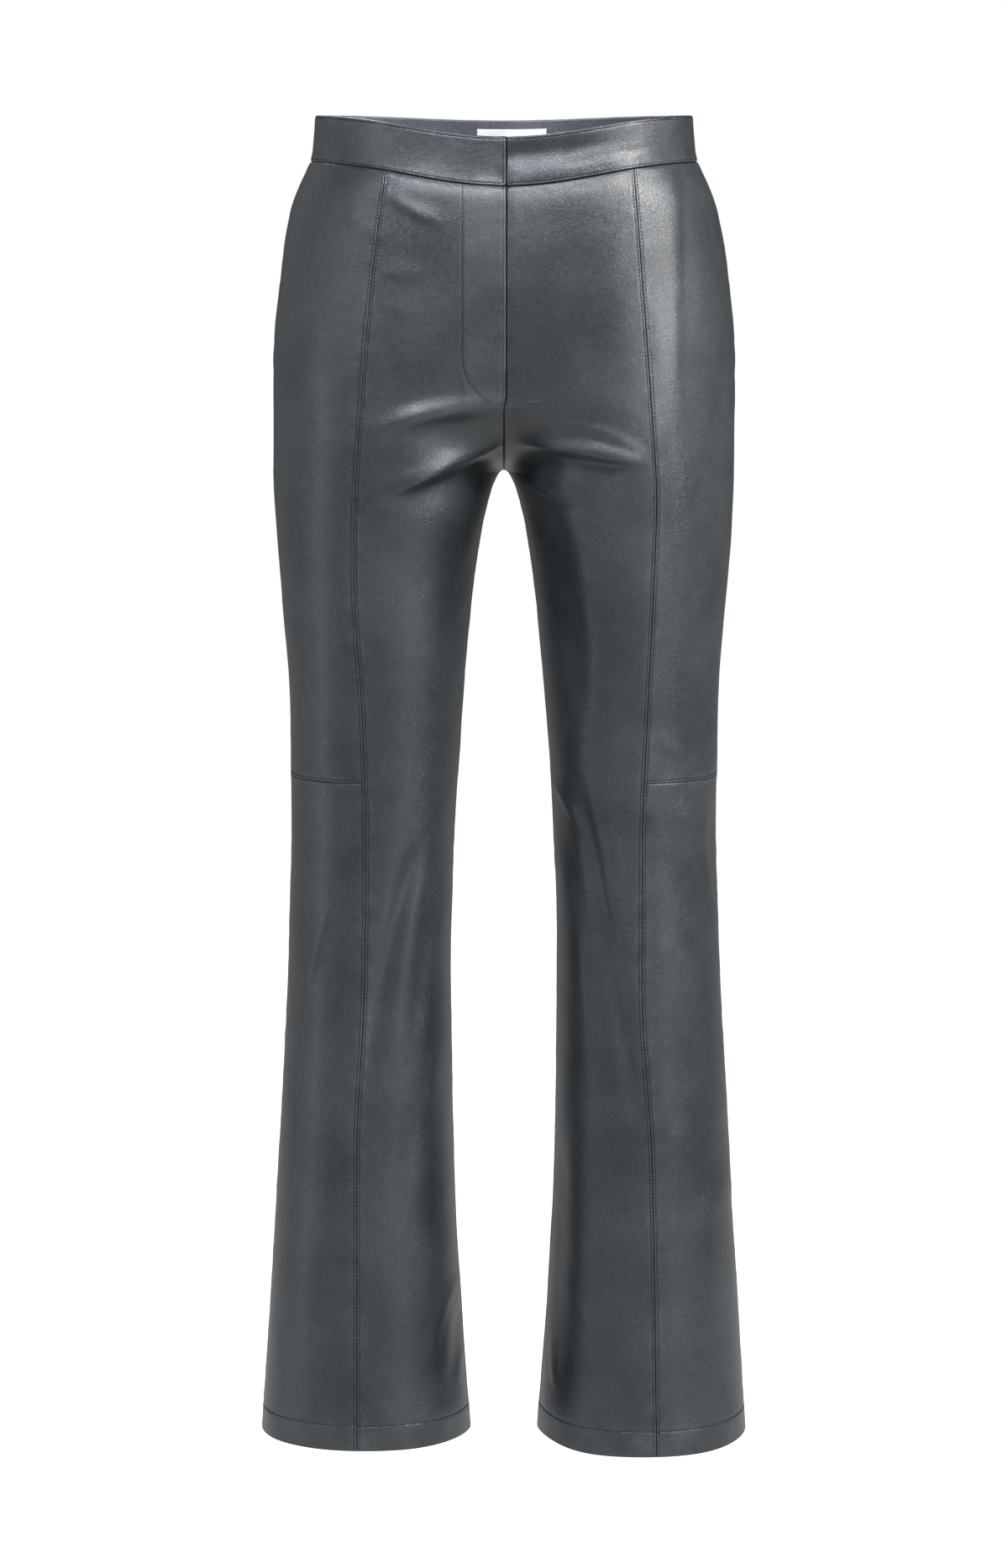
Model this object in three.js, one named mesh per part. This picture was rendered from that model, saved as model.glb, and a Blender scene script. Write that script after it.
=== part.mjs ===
// A pair of women's leather trousers, filled out as when they are worn: a contoured waistband, a fly
// at the centre front, fronts split by a seam from waist to hem with a second seam at knee height,
// in-seam side pockets, plain backs and slightly flared legs with turned-up hems.
//
// Millimetres, +Z up. The origin is the middle of the waist opening, level with the waistband's upper
// edge at the sides. The front faces -Y and the wearer's left is at +X. "Depth" is how far a place
// lies below the origin. Each half is worked out for the +X side, and the other half is mirrored.
import * as THREE from "three";

// Driving dimensions
const SIDE_LENGTH = 1051;
const BAND_HEIGHT = 36;
const CROTCH_DEPTH = 279;
const KNEE_DEPTH = 520;
const HEM_HEIGHT = 25;
const HEM_STEP = 0.8;
const FLY_DEPTH = 219;
const FRONT_DIP = 16;
const BAND_DROP = 2;
const BACK_DIP = 4;
const DIP_END_DEPTH = 250;

const WALL = 1.5;
const BAND_WALL = 2.6;
const HEM_WALL = 2.8;
const LINING_WALL = 1.2;
const SEAM_GAP = 0.3;
const PANEL_TOP = BAND_HEIGHT + SEAM_GAP / 2;
const FLY_STEP = 1.3;
const FLY_STEP_REACH = 26;

const RISE_START_FRONT = 185;
const RISE_START_BACK = 120;
const BELLY = 2;
const CLEFT = 5;
const LEG_GAP_RATE = 2.5;
const LEG_GAP_END = 101;
const SIDE_SEAM_BACK = 4;
const INSEAM_FORWARD = 7;
const LEFT_HEM_DROP = 5;

const POCKET_TOP = 58;
const POCKET_BOTTOM = 204;
const POCKET_BOW = 20;
const UNDERLAP_REACH = 29;
const UNDERLAP_TOP = 4;
const UNDERLAP_STEP = 14;
const LABEL_WIDTH = 55;
const LABEL_HEIGHT = 22;
const LABEL_DROP = 7;
const LABEL_ASIDE = 6.5;
const LABEL_WALL = 0.8;

// Leg and hip sections. outer is the half width, inner is half the gap between the legs, ridge is
// where the front and the back stand out furthest, front and back are those places' Y.
const SECTION_COLUMNS = ["depth", "outer", "inner", "ridge", "front", "back"];
const SECTIONS = [
  [0, 148, 0, 45, -98, 102],
  [35, 151.6, 0, 48, -102.8, 106.6],
  [40, 153.8, 0, 50, -105.5, 110],
  [49, 158.2, 0, 52, -108.8, 114.6],
  [66, 164.8, 0, 55, -112, 120],
  [94, 171.5, 0, 60, -115, 127],
  [133, 177.5, 0, 66, -117, 133],
  [180, 181.3, 0, 72, -118, 136],
  [226, 182.6, 0, 79, -117, 134],
  [CROTCH_DEPTH, 182.5, 0, 90, -111, 125],
  [330, 180, 18, 97, -103, 112],
  [CROTCH_DEPTH + LEG_GAP_END, 176, 25.1, 100, -95, 102],
  [450, 171, 31.8, 102, -86, 93],
  [533, 169.3, 37.5, 104, -76, 85],
  [655, 171.8, 42.3, 107, -73, 84],
  [818, 180.6, 40.4, 110, -77, 88],
  [950, 188.6, 34.2, 111.5, -83, 92],
  [SIDE_LENGTH, 195.3, 26.8, 111, -88, 96],
];

// Where the long front seam lies, as X on the wearer's right and left legs.
const SEAM_COLUMNS = ["depth", "right", "left"];
const FRONT_SEAM = [
  [BAND_HEIGHT, 91, 100],
  [124, 102, 106.5],
  [223, 110.5, 113.5],
  [300, 115.5, 118],
  [349, 116.8, 116.8],
  [467, 110.8, 112],
  [562, 108.5, 108.6],
  [680, 110, 108.5],
  [820, 116.3, 116.7],
  [SIDE_LENGTH, 116.4, 121],
];

// The largest folds. A fold runs from one place to another, as X and depth in its own half, bows
// sideways by bow, and is a ridge (height over 0) or a trough (under 0) that fades at both ends.
const FOLD_COLUMNS = ["half", "face", "x0", "d0", "x1", "d1", "bow", "spread", "height"];
const FOLDS = [
  ["right", "front", 6, 226, 100, 243, 3, 9, 3],
  ["right", "front", 8, 238, 92, 258, 2, 7, -2.5],
  ["right", "front", 12, 252, 104, 292, -3, 10, 3.5],
  ["right", "front", 6, 266, 96, 306, -4, 8, -4],
  ["right", "front", 90, 58, 50, 82, 2, 10, 1.8],
  ["right", "front", 66, 588, 112, 772, 8, 11, -4.5],
  ["right", "front", 48, 668, 88, 850, 6, 13, 3],
  ["right", "front", 136, 624, 158, 712, -3, 7, 2.2],
  ["right", "front", 48, 716, 46, 905, 3, 8, -2.8],
  ["left", "front", 24, 256, 102, 262, 5, 8, 3],
  ["left", "front", 6, 268, 110, 280, -3, 8, -4],
  ["left", "front", 14, 292, 62, 316, -2, 8, -3],
  ["left", "front", 60, 566, 112, 822, -12, 12, -5.5],
  ["left", "front", 50, 640, 84, 850, -6, 12, 3.2],
  ["left", "front", 132, 530, 168, 660, -9, 8, 4],
  ["left", "front", 122, 478, 160, 510, 3, 9, 2.4],
  ["left", "front", 176, 830, 172, 950, 14, 14, 3.2],
  ["left", "front", 48, 800, 42, 990, 3, 8, -3],
  ["right", "back", 18, 292, 118, 272, 12, 11, -4.5],
  ["right", "back", 26, 320, 128, 306, 8, 11, -3],
  ["right", "back", 56, 506, 150, 488, 5, 10, -3.6],
  ["right", "back", 64, 540, 156, 552, -5, 11, -4],
  ["right", "back", 60, 572, 140, 604, 4, 10, -2.6],
  ["right", "back", 66, 640, 120, 860, 8, 14, -3.6],
  ["right", "back", 148, 700, 128, 900, 6, 13, 3],
  ["left", "back", 16, 296, 112, 280, 9, 12, -4],
  ["left", "back", 30, 328, 134, 300, 10, 10, -3.2],
  ["left", "back", 54, 498, 146, 512, -6, 11, -3.4],
  ["left", "back", 70, 532, 158, 536, 4, 9, -4.2],
  ["left", "back", 58, 560, 132, 590, 5, 11, -3],
  ["left", "back", 74, 650, 96, 880, 7, 14, -3.2],
  ["left", "back", 150, 660, 140, 840, 8, 12, 2.8],
];

// Grid sizes
const BAND_STEPS = 12;
const BACK_BAND_STEPS = 24;
const CENTRE_STEPS = 8;
const SIDE_STEPS = 7;
const BACK_STEPS = 16;
const ROWS_UNDER_BAND = [0, 4, 10, 20, 36, 58, 84, 112];
const CROTCH_ROW_RATE = 1.6;
const CROTCH_ROWS = 8;
const ROW_STEP = 28;
const QUARTER_SAMPLES = 24;
const NUDGE = 0.05;

const LEATHER = { color: 0x4c5257, roughness: 0.42, metalness: 0 };
const LINING = { color: 0x3a3f44, roughness: 0.6, metalness: 0 };
const WOVEN = { color: 0xf2f2f0, roughness: 0.8, metalness: 0 };

const clamp01 = (t) => Math.min(1, Math.max(0, t));

function smooth(from, to, value) {
  const t = clamp01((value - from) / (to - from));
  return t * t * (3 - 2 * t);
}

// A smooth curve through one column of a table, with no overshoot between its rows.
function curveThrough(table, columns, name) {
  const at = columns.indexOf(name);
  const xs = table.map((row) => row[0]);
  const ys = table.map((row) => row[at]);
  const last = xs.length - 1;
  const rise = xs.slice(1).map((x, i) => (ys[i + 1] - ys[i]) / (x - xs[i]));
  const slope = ys.map((_, i) => {
    if (i === 0) return rise[0];
    if (i === last) return rise[last - 1];
    if (rise[i - 1] * rise[i] <= 0) return 0;
    return (2 * rise[i - 1] * rise[i]) / (rise[i - 1] + rise[i]);
  });
  return (x) => {
    const here = Math.min(xs[last], Math.max(xs[0], x));
    let i = 0;
    while (i < last - 1 && here > xs[i + 1]) i += 1;
    const width = xs[i + 1] - xs[i];
    const t = (here - xs[i]) / width;
    const start = (1 + 2 * t) * (1 - t) ** 2 * ys[i] + t * (1 - t) ** 2 * width * slope[i];
    const end = t * t * (3 - 2 * t) * ys[i + 1] + t * t * (t - 1) * width * slope[i + 1];
    return start + end;
  };
}

const section = Object.fromEntries(
  SECTION_COLUMNS.slice(1).map((name) => [name, curveThrough(SECTIONS, SECTION_COLUMNS, name)]),
);
const frontSeam = Object.fromEntries(
  SEAM_COLUMNS.slice(1).map((name) => [name, curveThrough(FRONT_SEAM, SEAM_COLUMNS, name)]),
);

// Half the gap between the legs, which opens as a rounded arch below the crotch.
function innerX(depth) {
  const below = depth - CROTCH_DEPTH;
  if (below <= 0) return 0;
  return below < LEG_GAP_END ? LEG_GAP_RATE * Math.sqrt(below) : section.inner(depth);
}

// How far the rise has curved under towards the crotch, from 0 to 1.
function riseShare(depth, start) {
  return clamp01((depth - start) / (CROTCH_DEPTH - start));
}

// A section is four quarter curves: inner end to front, front to side, side to back, back to inner
// end. Each is a cubic with its handles on the quarter's sides.
const INNER_HANDLE = 0.55;
const SIDE_HANDLE = 0.575;
const LEG_LEAN = 0.5;
const LEG_LEAN_REACH = 120;
const SADDLE_FILL = 3;

function cubic(p0, p1, p2, p3, t) {
  const s = 1 - t;
  const mix = (k) => s ** 3 * p0[k] + 3 * s * s * t * p1[k] + 3 * s * t * t * p2[k] + t ** 3 * p3[k];
  return [mix(0), mix(1)];
}

// The quarter from the inner end, on the centre line or the inseam, to the ridge at faceY. About
// the crotch the sections are those of a saddle: the centre line curves under to it from above,
// and the legs part below it. lean is how much the quarter's start slants, so that they join, and
// fill keeps the hollow at the centre line from reaching out to the ridge.
function innerQuarter(depth, faceY, swell, riseStart, t) {
  const middle = (section.front(depth) + section.back(depth)) / 2;
  const reach = faceY - middle;
  const ridge = section.ridge(depth);
  const share = riseShare(depth, riseStart);
  const rise = (1 - swell / Math.abs(reach)) * Math.sqrt(1 - share * share);
  const fill = SADDLE_FILL * (1 - smooth(0, 1, rise));
  const gap = innerX(depth) / ridge;
  const saddle = (LEG_GAP_RATE / ridge) * Math.sqrt((CROTCH_DEPTH - riseStart) / 2);
  const parted = smooth(CROTCH_DEPTH, CROTCH_DEPTH + LEG_LEAN_REACH, depth);
  const flattened = 1 - smooth(riseStart, CROTCH_DEPTH, depth);
  const lean = saddle + (LEG_LEAN - saddle) * parted + (1 - saddle) * flattened;
  const start = [INNER_HANDLE * lean, INNER_HANDLE];
  const [across, out] = cubic([0, 0], start, [1 - INNER_HANDLE, 1], [1, 1], t);
  return [
    ridge * Math.hypot(across * Math.sqrt(1 - gap * gap), gap),
    middle + reach * Math.hypot(out, rise * (1 - out * out) ** ((1 + fill) / 2)),
  ];
}

function sideQuarter(depth, faceY, t) {
  const middle = (section.front(depth) + section.back(depth)) / 2;
  const ridge = section.ridge(depth);
  const outer = section.outer(depth);
  const ridgeHandle = [ridge + SIDE_HANDLE * (outer - ridge), faceY];
  const sideHandle = [outer, middle + SIDE_HANDLE * (faceY - middle)];
  return cubic([ridge, faceY], ridgeHandle, sideHandle, [outer, middle], t);
}

// The section at a depth, with turn from 0 at the front's inner end to 4 at the back's.
function sectionPoint(depth, turn) {
  const front = section.front(depth);
  const back = section.back(depth);
  if (turn <= 1) return innerQuarter(depth, front, BELLY, RISE_START_FRONT, turn);
  if (turn <= 2) return sideQuarter(depth, front, turn - 1);
  if (turn <= 3) return sideQuarter(depth, back, 3 - turn);
  return innerQuarter(depth, back, CLEFT, RISE_START_BACK, 4 - turn);
}

// The waist edge dips at the centre front and a little at the centre back, less further down.
// The waistband is BAND_DROP deeper at the centre front than at the sides.
function waistDip(depth, x, y) {
  const middle = (section.front(depth) + section.back(depth)) / 2;
  const dip = y < middle ? FRONT_DIP + BAND_DROP * smooth(0, BAND_HEIGHT, depth) : BACK_DIP;
  const across = Math.min(1, Math.abs(x) / section.outer(depth));
  const fade = 1 - smooth(BAND_HEIGHT, DIP_END_DEPTH, depth);
  return dip * 0.5 * (1 + Math.cos(Math.PI * across)) * fade;
}

// The wearer's left hem hangs a little lower at the front.
function hemDrop(half, depth, y) {
  if (half !== "left") return 0;
  const lower = smooth(SIDE_LENGTH - 120, SIDE_LENGTH, depth);
  return LEFT_HEM_DROP * lower * smooth(0, 1, y / section.front(depth));
}

function bareSurface(half, depth, turn) {
  const [x, y] = sectionPoint(depth, turn);
  return new THREE.Vector3(x, y, -depth - waistDip(depth, x, y) - hemDrop(half, depth, y));
}

// Past a section's ends the surface goes on round the leg, or above the crotch into the other half.
function bareBeyond(half, depth, turn) {
  if (turn >= 0 && turn <= 4) return bareSurface(half, depth, turn);
  if (depth > CROTCH_DEPTH) return bareSurface(half, depth, turn < 0 ? turn + 4 : turn - 4);
  const point = bareSurface(half, depth, turn < 0 ? -turn : 8 - turn);
  point.x *= -1;
  return point;
}

function bareNormal(half, depth, turn) {
  const ahead = bareBeyond(half, depth, turn + NUDGE);
  const along = ahead.sub(bareBeyond(half, depth, turn - NUDGE));
  const down = bareSurface(half, depth + NUDGE, turn).sub(bareSurface(half, depth - NUDGE, turn));
  return new THREE.Vector3().crossVectors(down, along).normalize();
}

// How far one fold moves the point at (x, depth), for a fold row read by its columns.
function foldShift(fold, x, depth) {
  const [x0, d0, x1, d1, bow, spread, height] = fold.slice(2);
  const dx = x1 - x0;
  const dd = d1 - d0;
  const long = Math.hypot(dx, dd);
  const along = ((x - x0) * dx + (depth - d0) * dd) / (long * long);
  const held = clamp01(along);
  const lean = bow * 4 * held * (1 - held);
  const away = ((x - x0) * dd - (depth - d0) * dx) / long - lean;
  const past = (along - held) * long;
  const fade = smooth(-0.08, 0.22, along) * (1 - smooth(0.72, 1.08, along));
  return height * fade * Math.exp(-(away * away + past * past) / (spread * spread));
}

function foldsAt(half, x, depth, normal) {
  let shift = 0;
  for (const fold of FOLDS) {
    if (fold[0] !== half) continue;
    const facing = fold[1] === "front" ? -normal.y : normal.y;
    shift += foldShift(fold, x, depth) * smooth(-0.1, 0.35, facing);
  }
  return shift;
}

// The wearer's left front passes under the right one at the fly, so it lies deeper there.
function flyShift(half, x, depth, normal) {
  if (half !== "left" || normal.y > 0) return 0;
  const upper = 1 - smooth(FLY_DEPTH - 6, FLY_DEPTH + 16, depth);
  return -FLY_STEP * upper * (1 - smooth(0, FLY_STEP_REACH, x));
}

// The leather's outer surface and the way it faces, at a depth and turn.
function leather(half, depth, turn, layerDepth = 0) {
  const held = turn > 4 ? turn - 4 : turn;
  const point = bareSurface(half, depth, held);
  const normal = bareNormal(half, depth, held);
  const shift = foldsAt(half, point.x, depth, normal) + flyShift(half, point.x, depth, normal);
  point.addScaledVector(normal, shift - layerDepth);
  return { point, normal };
}

// Distances along a section, so that gaps and widths on it can be given in millimetres.
function sectionRuler(half, depth) {
  const turns = [];
  const lengths = [0];
  let before = bareSurface(half, depth, 0);
  for (let i = 0; i <= 4 * QUARTER_SAMPLES; i += 1) {
    const turn = i / QUARTER_SAMPLES;
    const here = bareSurface(half, depth, turn);
    if (i > 0) lengths.push(lengths[i - 1] + here.distanceTo(before));
    turns.push(turn);
    before = here;
  }
  const whole = lengths[lengths.length - 1];
  const read = (from, to, value) => {
    let i = 1;
    while (i < from.length - 1 && from[i] < value) i += 1;
    const share = (value - from[i - 1]) / (from[i] - from[i - 1]);
    return to[i - 1] + share * (to[i] - to[i - 1]);
  };
  const lengthAt = (turn) => (turn > 4 ? whole + lengthAt(turn - 4) : read(turns, lengths, turn));
  const turnAt = (length) => (length > whole ? 4 + turnAt(length - whole) : read(lengths, turns, length));
  return { whole, lengthAt, turnAt, offset: (turn, by) => turnAt(lengthAt(turn) + by) };
}

// Where the seams lie on a section, as turns.
function frontSeamTurn(half, depth) {
  const target = frontSeam[half](depth);
  let low = 0;
  let high = 2;
  for (let i = 0; i < 40; i += 1) {
    const turn = (low + high) / 2;
    if (bareSurface(half, depth, turn).x < target) low = turn;
    else high = turn;
  }
  return low;
}

const sideSeamTurn = (ruler) => ruler.offset(2, SIDE_SEAM_BACK);

function inseamLength(depth) {
  return INSEAM_FORWARD * smooth(CROTCH_DEPTH + 10, CROTCH_DEPTH + 70, depth);
}

// A pocket's front edge bows forward of the side seam.
function pocketCut(depth) {
  const share = clamp01((depth - POCKET_TOP) / (POCKET_BOTTOM - POCKET_TOP));
  return POCKET_BOW * Math.sin(Math.PI * share) ** 2;
}

// Closes an outer and an inner grid of points, rows first, into one solid.
function shellGeometry(outer, inner, mirrored) {
  const rows = outer.length;
  const columns = outer[0].length;
  const positions = [];
  for (const grid of [outer, inner]) {
    for (const row of grid) {
      for (const point of row) positions.push(mirrored ? -point.x : point.x, point.y, point.z);
    }
  }
  const place = (layer, j, i) => layer * rows * columns + j * columns + i;
  const faces = [];
  const quad = (a, b, c, d) => faces.push([a, b, c], [a, c, d]);
  for (let j = 0; j < rows - 1; j += 1) {
    for (let i = 0; i < columns - 1; i += 1) {
      quad(place(0, j, i), place(0, j + 1, i), place(0, j + 1, i + 1), place(0, j, i + 1));
      quad(place(1, j, i), place(1, j, i + 1), place(1, j + 1, i + 1), place(1, j + 1, i));
    }
  }
  for (let i = 0; i < columns - 1; i += 1) {
    quad(place(0, 0, i), place(0, 0, i + 1), place(1, 0, i + 1), place(1, 0, i));
    const end = rows - 1;
    quad(place(0, end, i + 1), place(0, end, i), place(1, end, i), place(1, end, i + 1));
  }
  for (let j = 0; j < rows - 1; j += 1) {
    const end = columns - 1;
    quad(place(0, j + 1, 0), place(0, j, 0), place(1, j, 0), place(1, j + 1, 0));
    quad(place(0, j, end), place(0, j + 1, end), place(1, j + 1, end), place(1, j, end));
  }
  const index = faces.flatMap(([a, b, c]) => (mirrored ? [a, c, b] : [a, b, c]));
  const geometry = new THREE.BufferGeometry();
  geometry.setAttribute("position", new THREE.Float32BufferAttribute(positions, 3));
  geometry.setIndex(index);
  geometry.computeVertexNormals();
  return geometry;
}

// A panel of the garment. columns gives its places along a section, as turns, wall gives its
// thickness at a depth, and layer is how deep it lies.
function panel({ half, depths, columns, wall = () => WALL, layer = 0 }) {
  const outer = [];
  const inner = [];
  for (const depth of depths) {
    const ruler = sectionRuler(half, depth);
    const outerRow = [];
    const innerRow = [];
    for (const turn of columns(depth, ruler)) {
      const { point, normal } = leather(half, depth, turn, layer);
      outerRow.push(point);
      innerRow.push(point.clone().addScaledVector(normal, -wall(depth)));
    }
    outer.push(outerRow);
    inner.push(innerRow);
  }
  return shellGeometry(outer, inner, half === "right");
}

// Even steps from one seam to the next, keeping half a seam gap from each.
function between(ruler, start, end, steps) {
  const first = ruler.offset(start, SEAM_GAP / 2);
  const last = ruler.offset(end, -SEAM_GAP / 2);
  return Array.from({ length: steps + 1 }, (_, i) => first + ((last - first) * i) / steps);
}

function centreColumns(half, depth, ruler) {
  const inseam = ruler.turnAt(inseamLength(depth));
  return between(ruler, inseam, frontSeamTurn(half, depth), CENTRE_STEPS);
}

function sideColumns(half, depth, ruler) {
  const edge = ruler.offset(sideSeamTurn(ruler), -pocketCut(depth));
  return between(ruler, frontSeamTurn(half, depth), edge, SIDE_STEPS);
}

function backColumns(depth, ruler) {
  const inseam = ruler.turnAt(ruler.whole + inseamLength(depth));
  return between(ruler, sideSeamTurn(ruler), inseam, BACK_STEPS);
}

function even(from, to, step) {
  const count = Math.max(1, Math.round((to - from) / step));
  return Array.from({ length: count + 1 }, (_, i) => from + ((to - from) * i) / count);
}

// The depths of a panel's rows: close together under the waistband and about the crotch.
function rowDepths(from, to) {
  const near = CROTCH_ROW_RATE * CROTCH_ROWS ** 2;
  const steps = Array.from({ length: CROTCH_ROWS }, (_, k) => CROTCH_ROW_RATE * (k + 1) ** 2);
  const rows = [
    ...ROWS_UNDER_BAND.map((drop) => PANEL_TOP + drop),
    ...steps.map((step) => CROTCH_DEPTH - step).reverse(),
    CROTCH_DEPTH,
    ...steps.map((step) => CROTCH_DEPTH + step),
    ...even(CROTCH_DEPTH + near, KNEE_DEPTH, ROW_STEP).slice(1),
    ...even(KNEE_DEPTH, SIDE_LENGTH - HEM_HEIGHT, ROW_STEP).slice(1),
  ];
  const within = rows.filter((depth) => depth > from + 1 && depth < to - 1);
  return [from, ...within, to];
}

// A panel's rows down to the hem, where the wall thickens over a short step.
function rowsToHem(top) {
  const hemTop = SIDE_LENGTH - HEM_HEIGHT;
  return [...rowDepths(top, hemTop), hemTop + HEM_STEP, SIDE_LENGTH];
}

const hemWall = (depth) => (depth > SIDE_LENGTH - HEM_HEIGHT + HEM_STEP / 2 ? HEM_WALL : WALL);

function named(name, geometry, finish) {
  const mesh = new THREE.Mesh(geometry, new THREE.MeshStandardMaterial(finish));
  mesh.name = name;
  return mesh;
}

function frontCentre(half) {
  const depths = rowsToHem(PANEL_TOP);
  const columns = (depth, ruler) => centreColumns(half, depth, ruler);
  const geometry = panel({ half, depths, columns, wall: hemWall });
  return named(`front_centre_${half}`, geometry, LEATHER);
}

function frontSideUpper(half) {
  const depths = rowDepths(PANEL_TOP, KNEE_DEPTH - SEAM_GAP / 2);
  const columns = (depth, ruler) => sideColumns(half, depth, ruler);
  return named(`front_side_upper_${half}`, panel({ half, depths, columns }), LEATHER);
}

function frontSideLower(half) {
  const depths = rowsToHem(KNEE_DEPTH + SEAM_GAP / 2);
  const columns = (depth, ruler) => sideColumns(half, depth, ruler);
  const geometry = panel({ half, depths, columns, wall: hemWall });
  return named(`front_side_lower_${half}`, geometry, LEATHER);
}

function back(half) {
  const depths = rowsToHem(PANEL_TOP);
  const geometry = panel({ half, depths, columns: backColumns, wall: hemWall });
  return named(`back_${half}`, geometry, LEATHER);
}

// The facing shows in the pocket's opening. It lies behind the last step of the front and the
// first step of the back, on their own rows and columns.
function pocketFacing(half) {
  const rows = rowDepths(PANEL_TOP, KNEE_DEPTH);
  const depths = rows.filter((depth) => depth > POCKET_TOP - 12 && depth < POCKET_BOTTOM + 20);
  const columns = (depth, ruler) => [
    ...sideColumns(half, depth, ruler).slice(-2),
    ...backColumns(depth, ruler).slice(0, 2),
  ];
  const layer = WALL + SEAM_GAP;
  const geometry = panel({ half, depths, columns, wall: () => LINING_WALL, layer });
  return named(`pocket_facing_${half}`, geometry, LEATHER);
}

// The waistband's fronts run from the fly to the side seams.
function bandFront(half) {
  const depths = [0, BAND_HEIGHT / 2, BAND_HEIGHT - SEAM_GAP / 2];
  const columns = (depth, ruler) => between(ruler, 0, sideSeamTurn(ruler), BAND_STEPS);
  const geometry = panel({ half, depths, columns, wall: () => BAND_WALL });
  return named(`waistband_front_${half}`, geometry, LEATHER);
}

// A strip across the centre line, from both halves' points: the right half's, then the left's.
function acrossCentre({ depths, steps, span, wall, layer }) {
  const outer = [];
  const inner = [];
  for (const depth of depths) {
    const outerRow = [];
    const innerRow = [];
    for (let i = 0; i <= steps; i += 1) {
      const ruler = sectionRuler("right", depth);
      const [start, end] = span(depth, ruler);
      const length = start + ((end - start) * i) / steps;
      const beyond = length > ruler.whole;
      const onRight = length < 0 || beyond ? "left" : "right";
      const held = beyond ? 2 * ruler.whole - length : Math.abs(length);
      const point = bareSurface(onRight, depth, ruler.turnAt(held));
      const normal = bareNormal(onRight, depth, ruler.turnAt(held));
      const flip = onRight === "left" ? -1 : 1;
      point.x *= flip;
      normal.x *= flip;
      outerRow.push(point.clone().addScaledVector(normal, -layer));
      innerRow.push(point.clone().addScaledVector(normal, -layer - wall));
    }
    outer.push(outerRow);
    inner.push(innerRow);
  }
  return shellGeometry(outer, inner, true);
}

function bandBack() {
  const depths = [0, BAND_HEIGHT / 2, BAND_HEIGHT - SEAM_GAP / 2];
  const span = (depth, ruler) => {
    const start = ruler.lengthAt(2) + SIDE_SEAM_BACK + SEAM_GAP / 2;
    return [start, 2 * ruler.whole - start];
  };
  const geometry = acrossCentre({ depths, steps: BACK_BAND_STEPS, span, wall: BAND_WALL, layer: 0 });
  return named("waistband_back", geometry, LEATHER);
}

// The strip behind the closed fly, under both fronts and both ends of the waistband.
function flyUnderlap() {
  const depths = [UNDERLAP_TOP, BAND_HEIGHT / 2, ...ROWS_UNDER_BAND.map((drop) => PANEL_TOP + drop)];
  depths.push(...even(PANEL_TOP + 140, FLY_DEPTH, UNDERLAP_STEP));
  const span = () => [-UNDERLAP_REACH, UNDERLAP_REACH];
  const layer = FLY_STEP + BAND_WALL + 3 * SEAM_GAP;
  const geometry = acrossCentre({ depths, steps: 6, span, wall: LINING_WALL, layer });
  return named("fly_underlap", geometry, LINING);
}

// A plain woven tab inside the back of the waistband, a little to the wearer's left.
function label() {
  const depths = [LABEL_DROP, LABEL_DROP + LABEL_HEIGHT / 2, LABEL_DROP + LABEL_HEIGHT];
  const span = (depth, ruler) => {
    const start = ruler.whole + LABEL_ASIDE - LABEL_WIDTH / 2;
    return [start, start + LABEL_WIDTH];
  };
  const layer = BAND_WALL + 2 * SEAM_GAP;
  const geometry = acrossCentre({ depths, steps: 6, span, wall: LABEL_WALL, layer });
  return named("label", geometry, WOVEN);
}

function trousers() {
  const group = new THREE.Group();
  group.name = "leather_trousers";
  for (const half of ["right", "left"]) {
    group.add(bandFront(half));
    group.add(frontCentre(half));
    group.add(frontSideUpper(half));
    group.add(frontSideLower(half));
    group.add(back(half));
    group.add(pocketFacing(half));
  }
  group.add(bandBack());
  group.add(flyUnderlap());
  group.add(label());
  return group;
}

export default trousers();
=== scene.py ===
import math

import bpy
import numpy as np
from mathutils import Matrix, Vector


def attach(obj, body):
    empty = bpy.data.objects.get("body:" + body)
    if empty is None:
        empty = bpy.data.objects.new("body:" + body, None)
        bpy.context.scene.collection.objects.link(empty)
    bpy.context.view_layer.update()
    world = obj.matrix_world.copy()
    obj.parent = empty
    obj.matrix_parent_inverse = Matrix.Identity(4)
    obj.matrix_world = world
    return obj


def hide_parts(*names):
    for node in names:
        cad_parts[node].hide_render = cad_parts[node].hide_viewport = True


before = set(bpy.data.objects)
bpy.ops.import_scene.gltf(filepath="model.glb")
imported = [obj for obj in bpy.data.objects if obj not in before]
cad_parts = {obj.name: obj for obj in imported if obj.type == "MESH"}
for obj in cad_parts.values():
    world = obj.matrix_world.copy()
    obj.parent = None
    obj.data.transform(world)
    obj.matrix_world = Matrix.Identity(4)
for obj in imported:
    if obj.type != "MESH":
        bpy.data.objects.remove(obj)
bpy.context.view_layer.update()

# The solids' own sizes
SIDE_LENGTH = 1051
BAND_HEIGHT = 36
CROTCH_DEPTH = 279
KNEE_DEPTH = 520
HEM_HEIGHT = 25
FLY_DEPTH = 219
FRONT_DIP = 16
BAND_DROP = 2
BACK_DIP = 4
DIP_END_DEPTH = 250
SEAM_GAP = 0.3
FLY_STEP = 1.3
FLY_STEP_REACH = 9
RISE_START_FRONT = 185
RISE_START_BACK = 120
BELLY = 2
CLEFT = 5
LEG_GAP_RATE = 2.5
LEG_GAP_END = 101
SIDE_SEAM_BACK = 4
INSEAM_FORWARD = 7
LEFT_HEM_DROP = 5
POCKET_TOP = 58
POCKET_BOTTOM = 204
POCKET_BOW = 20
INNER_HANDLE = 0.55
SIDE_HANDLE = 0.575
LEG_LEAN = 0.5
LEG_LEAN_REACH = 120
SADDLE_FILL = 3

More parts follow.
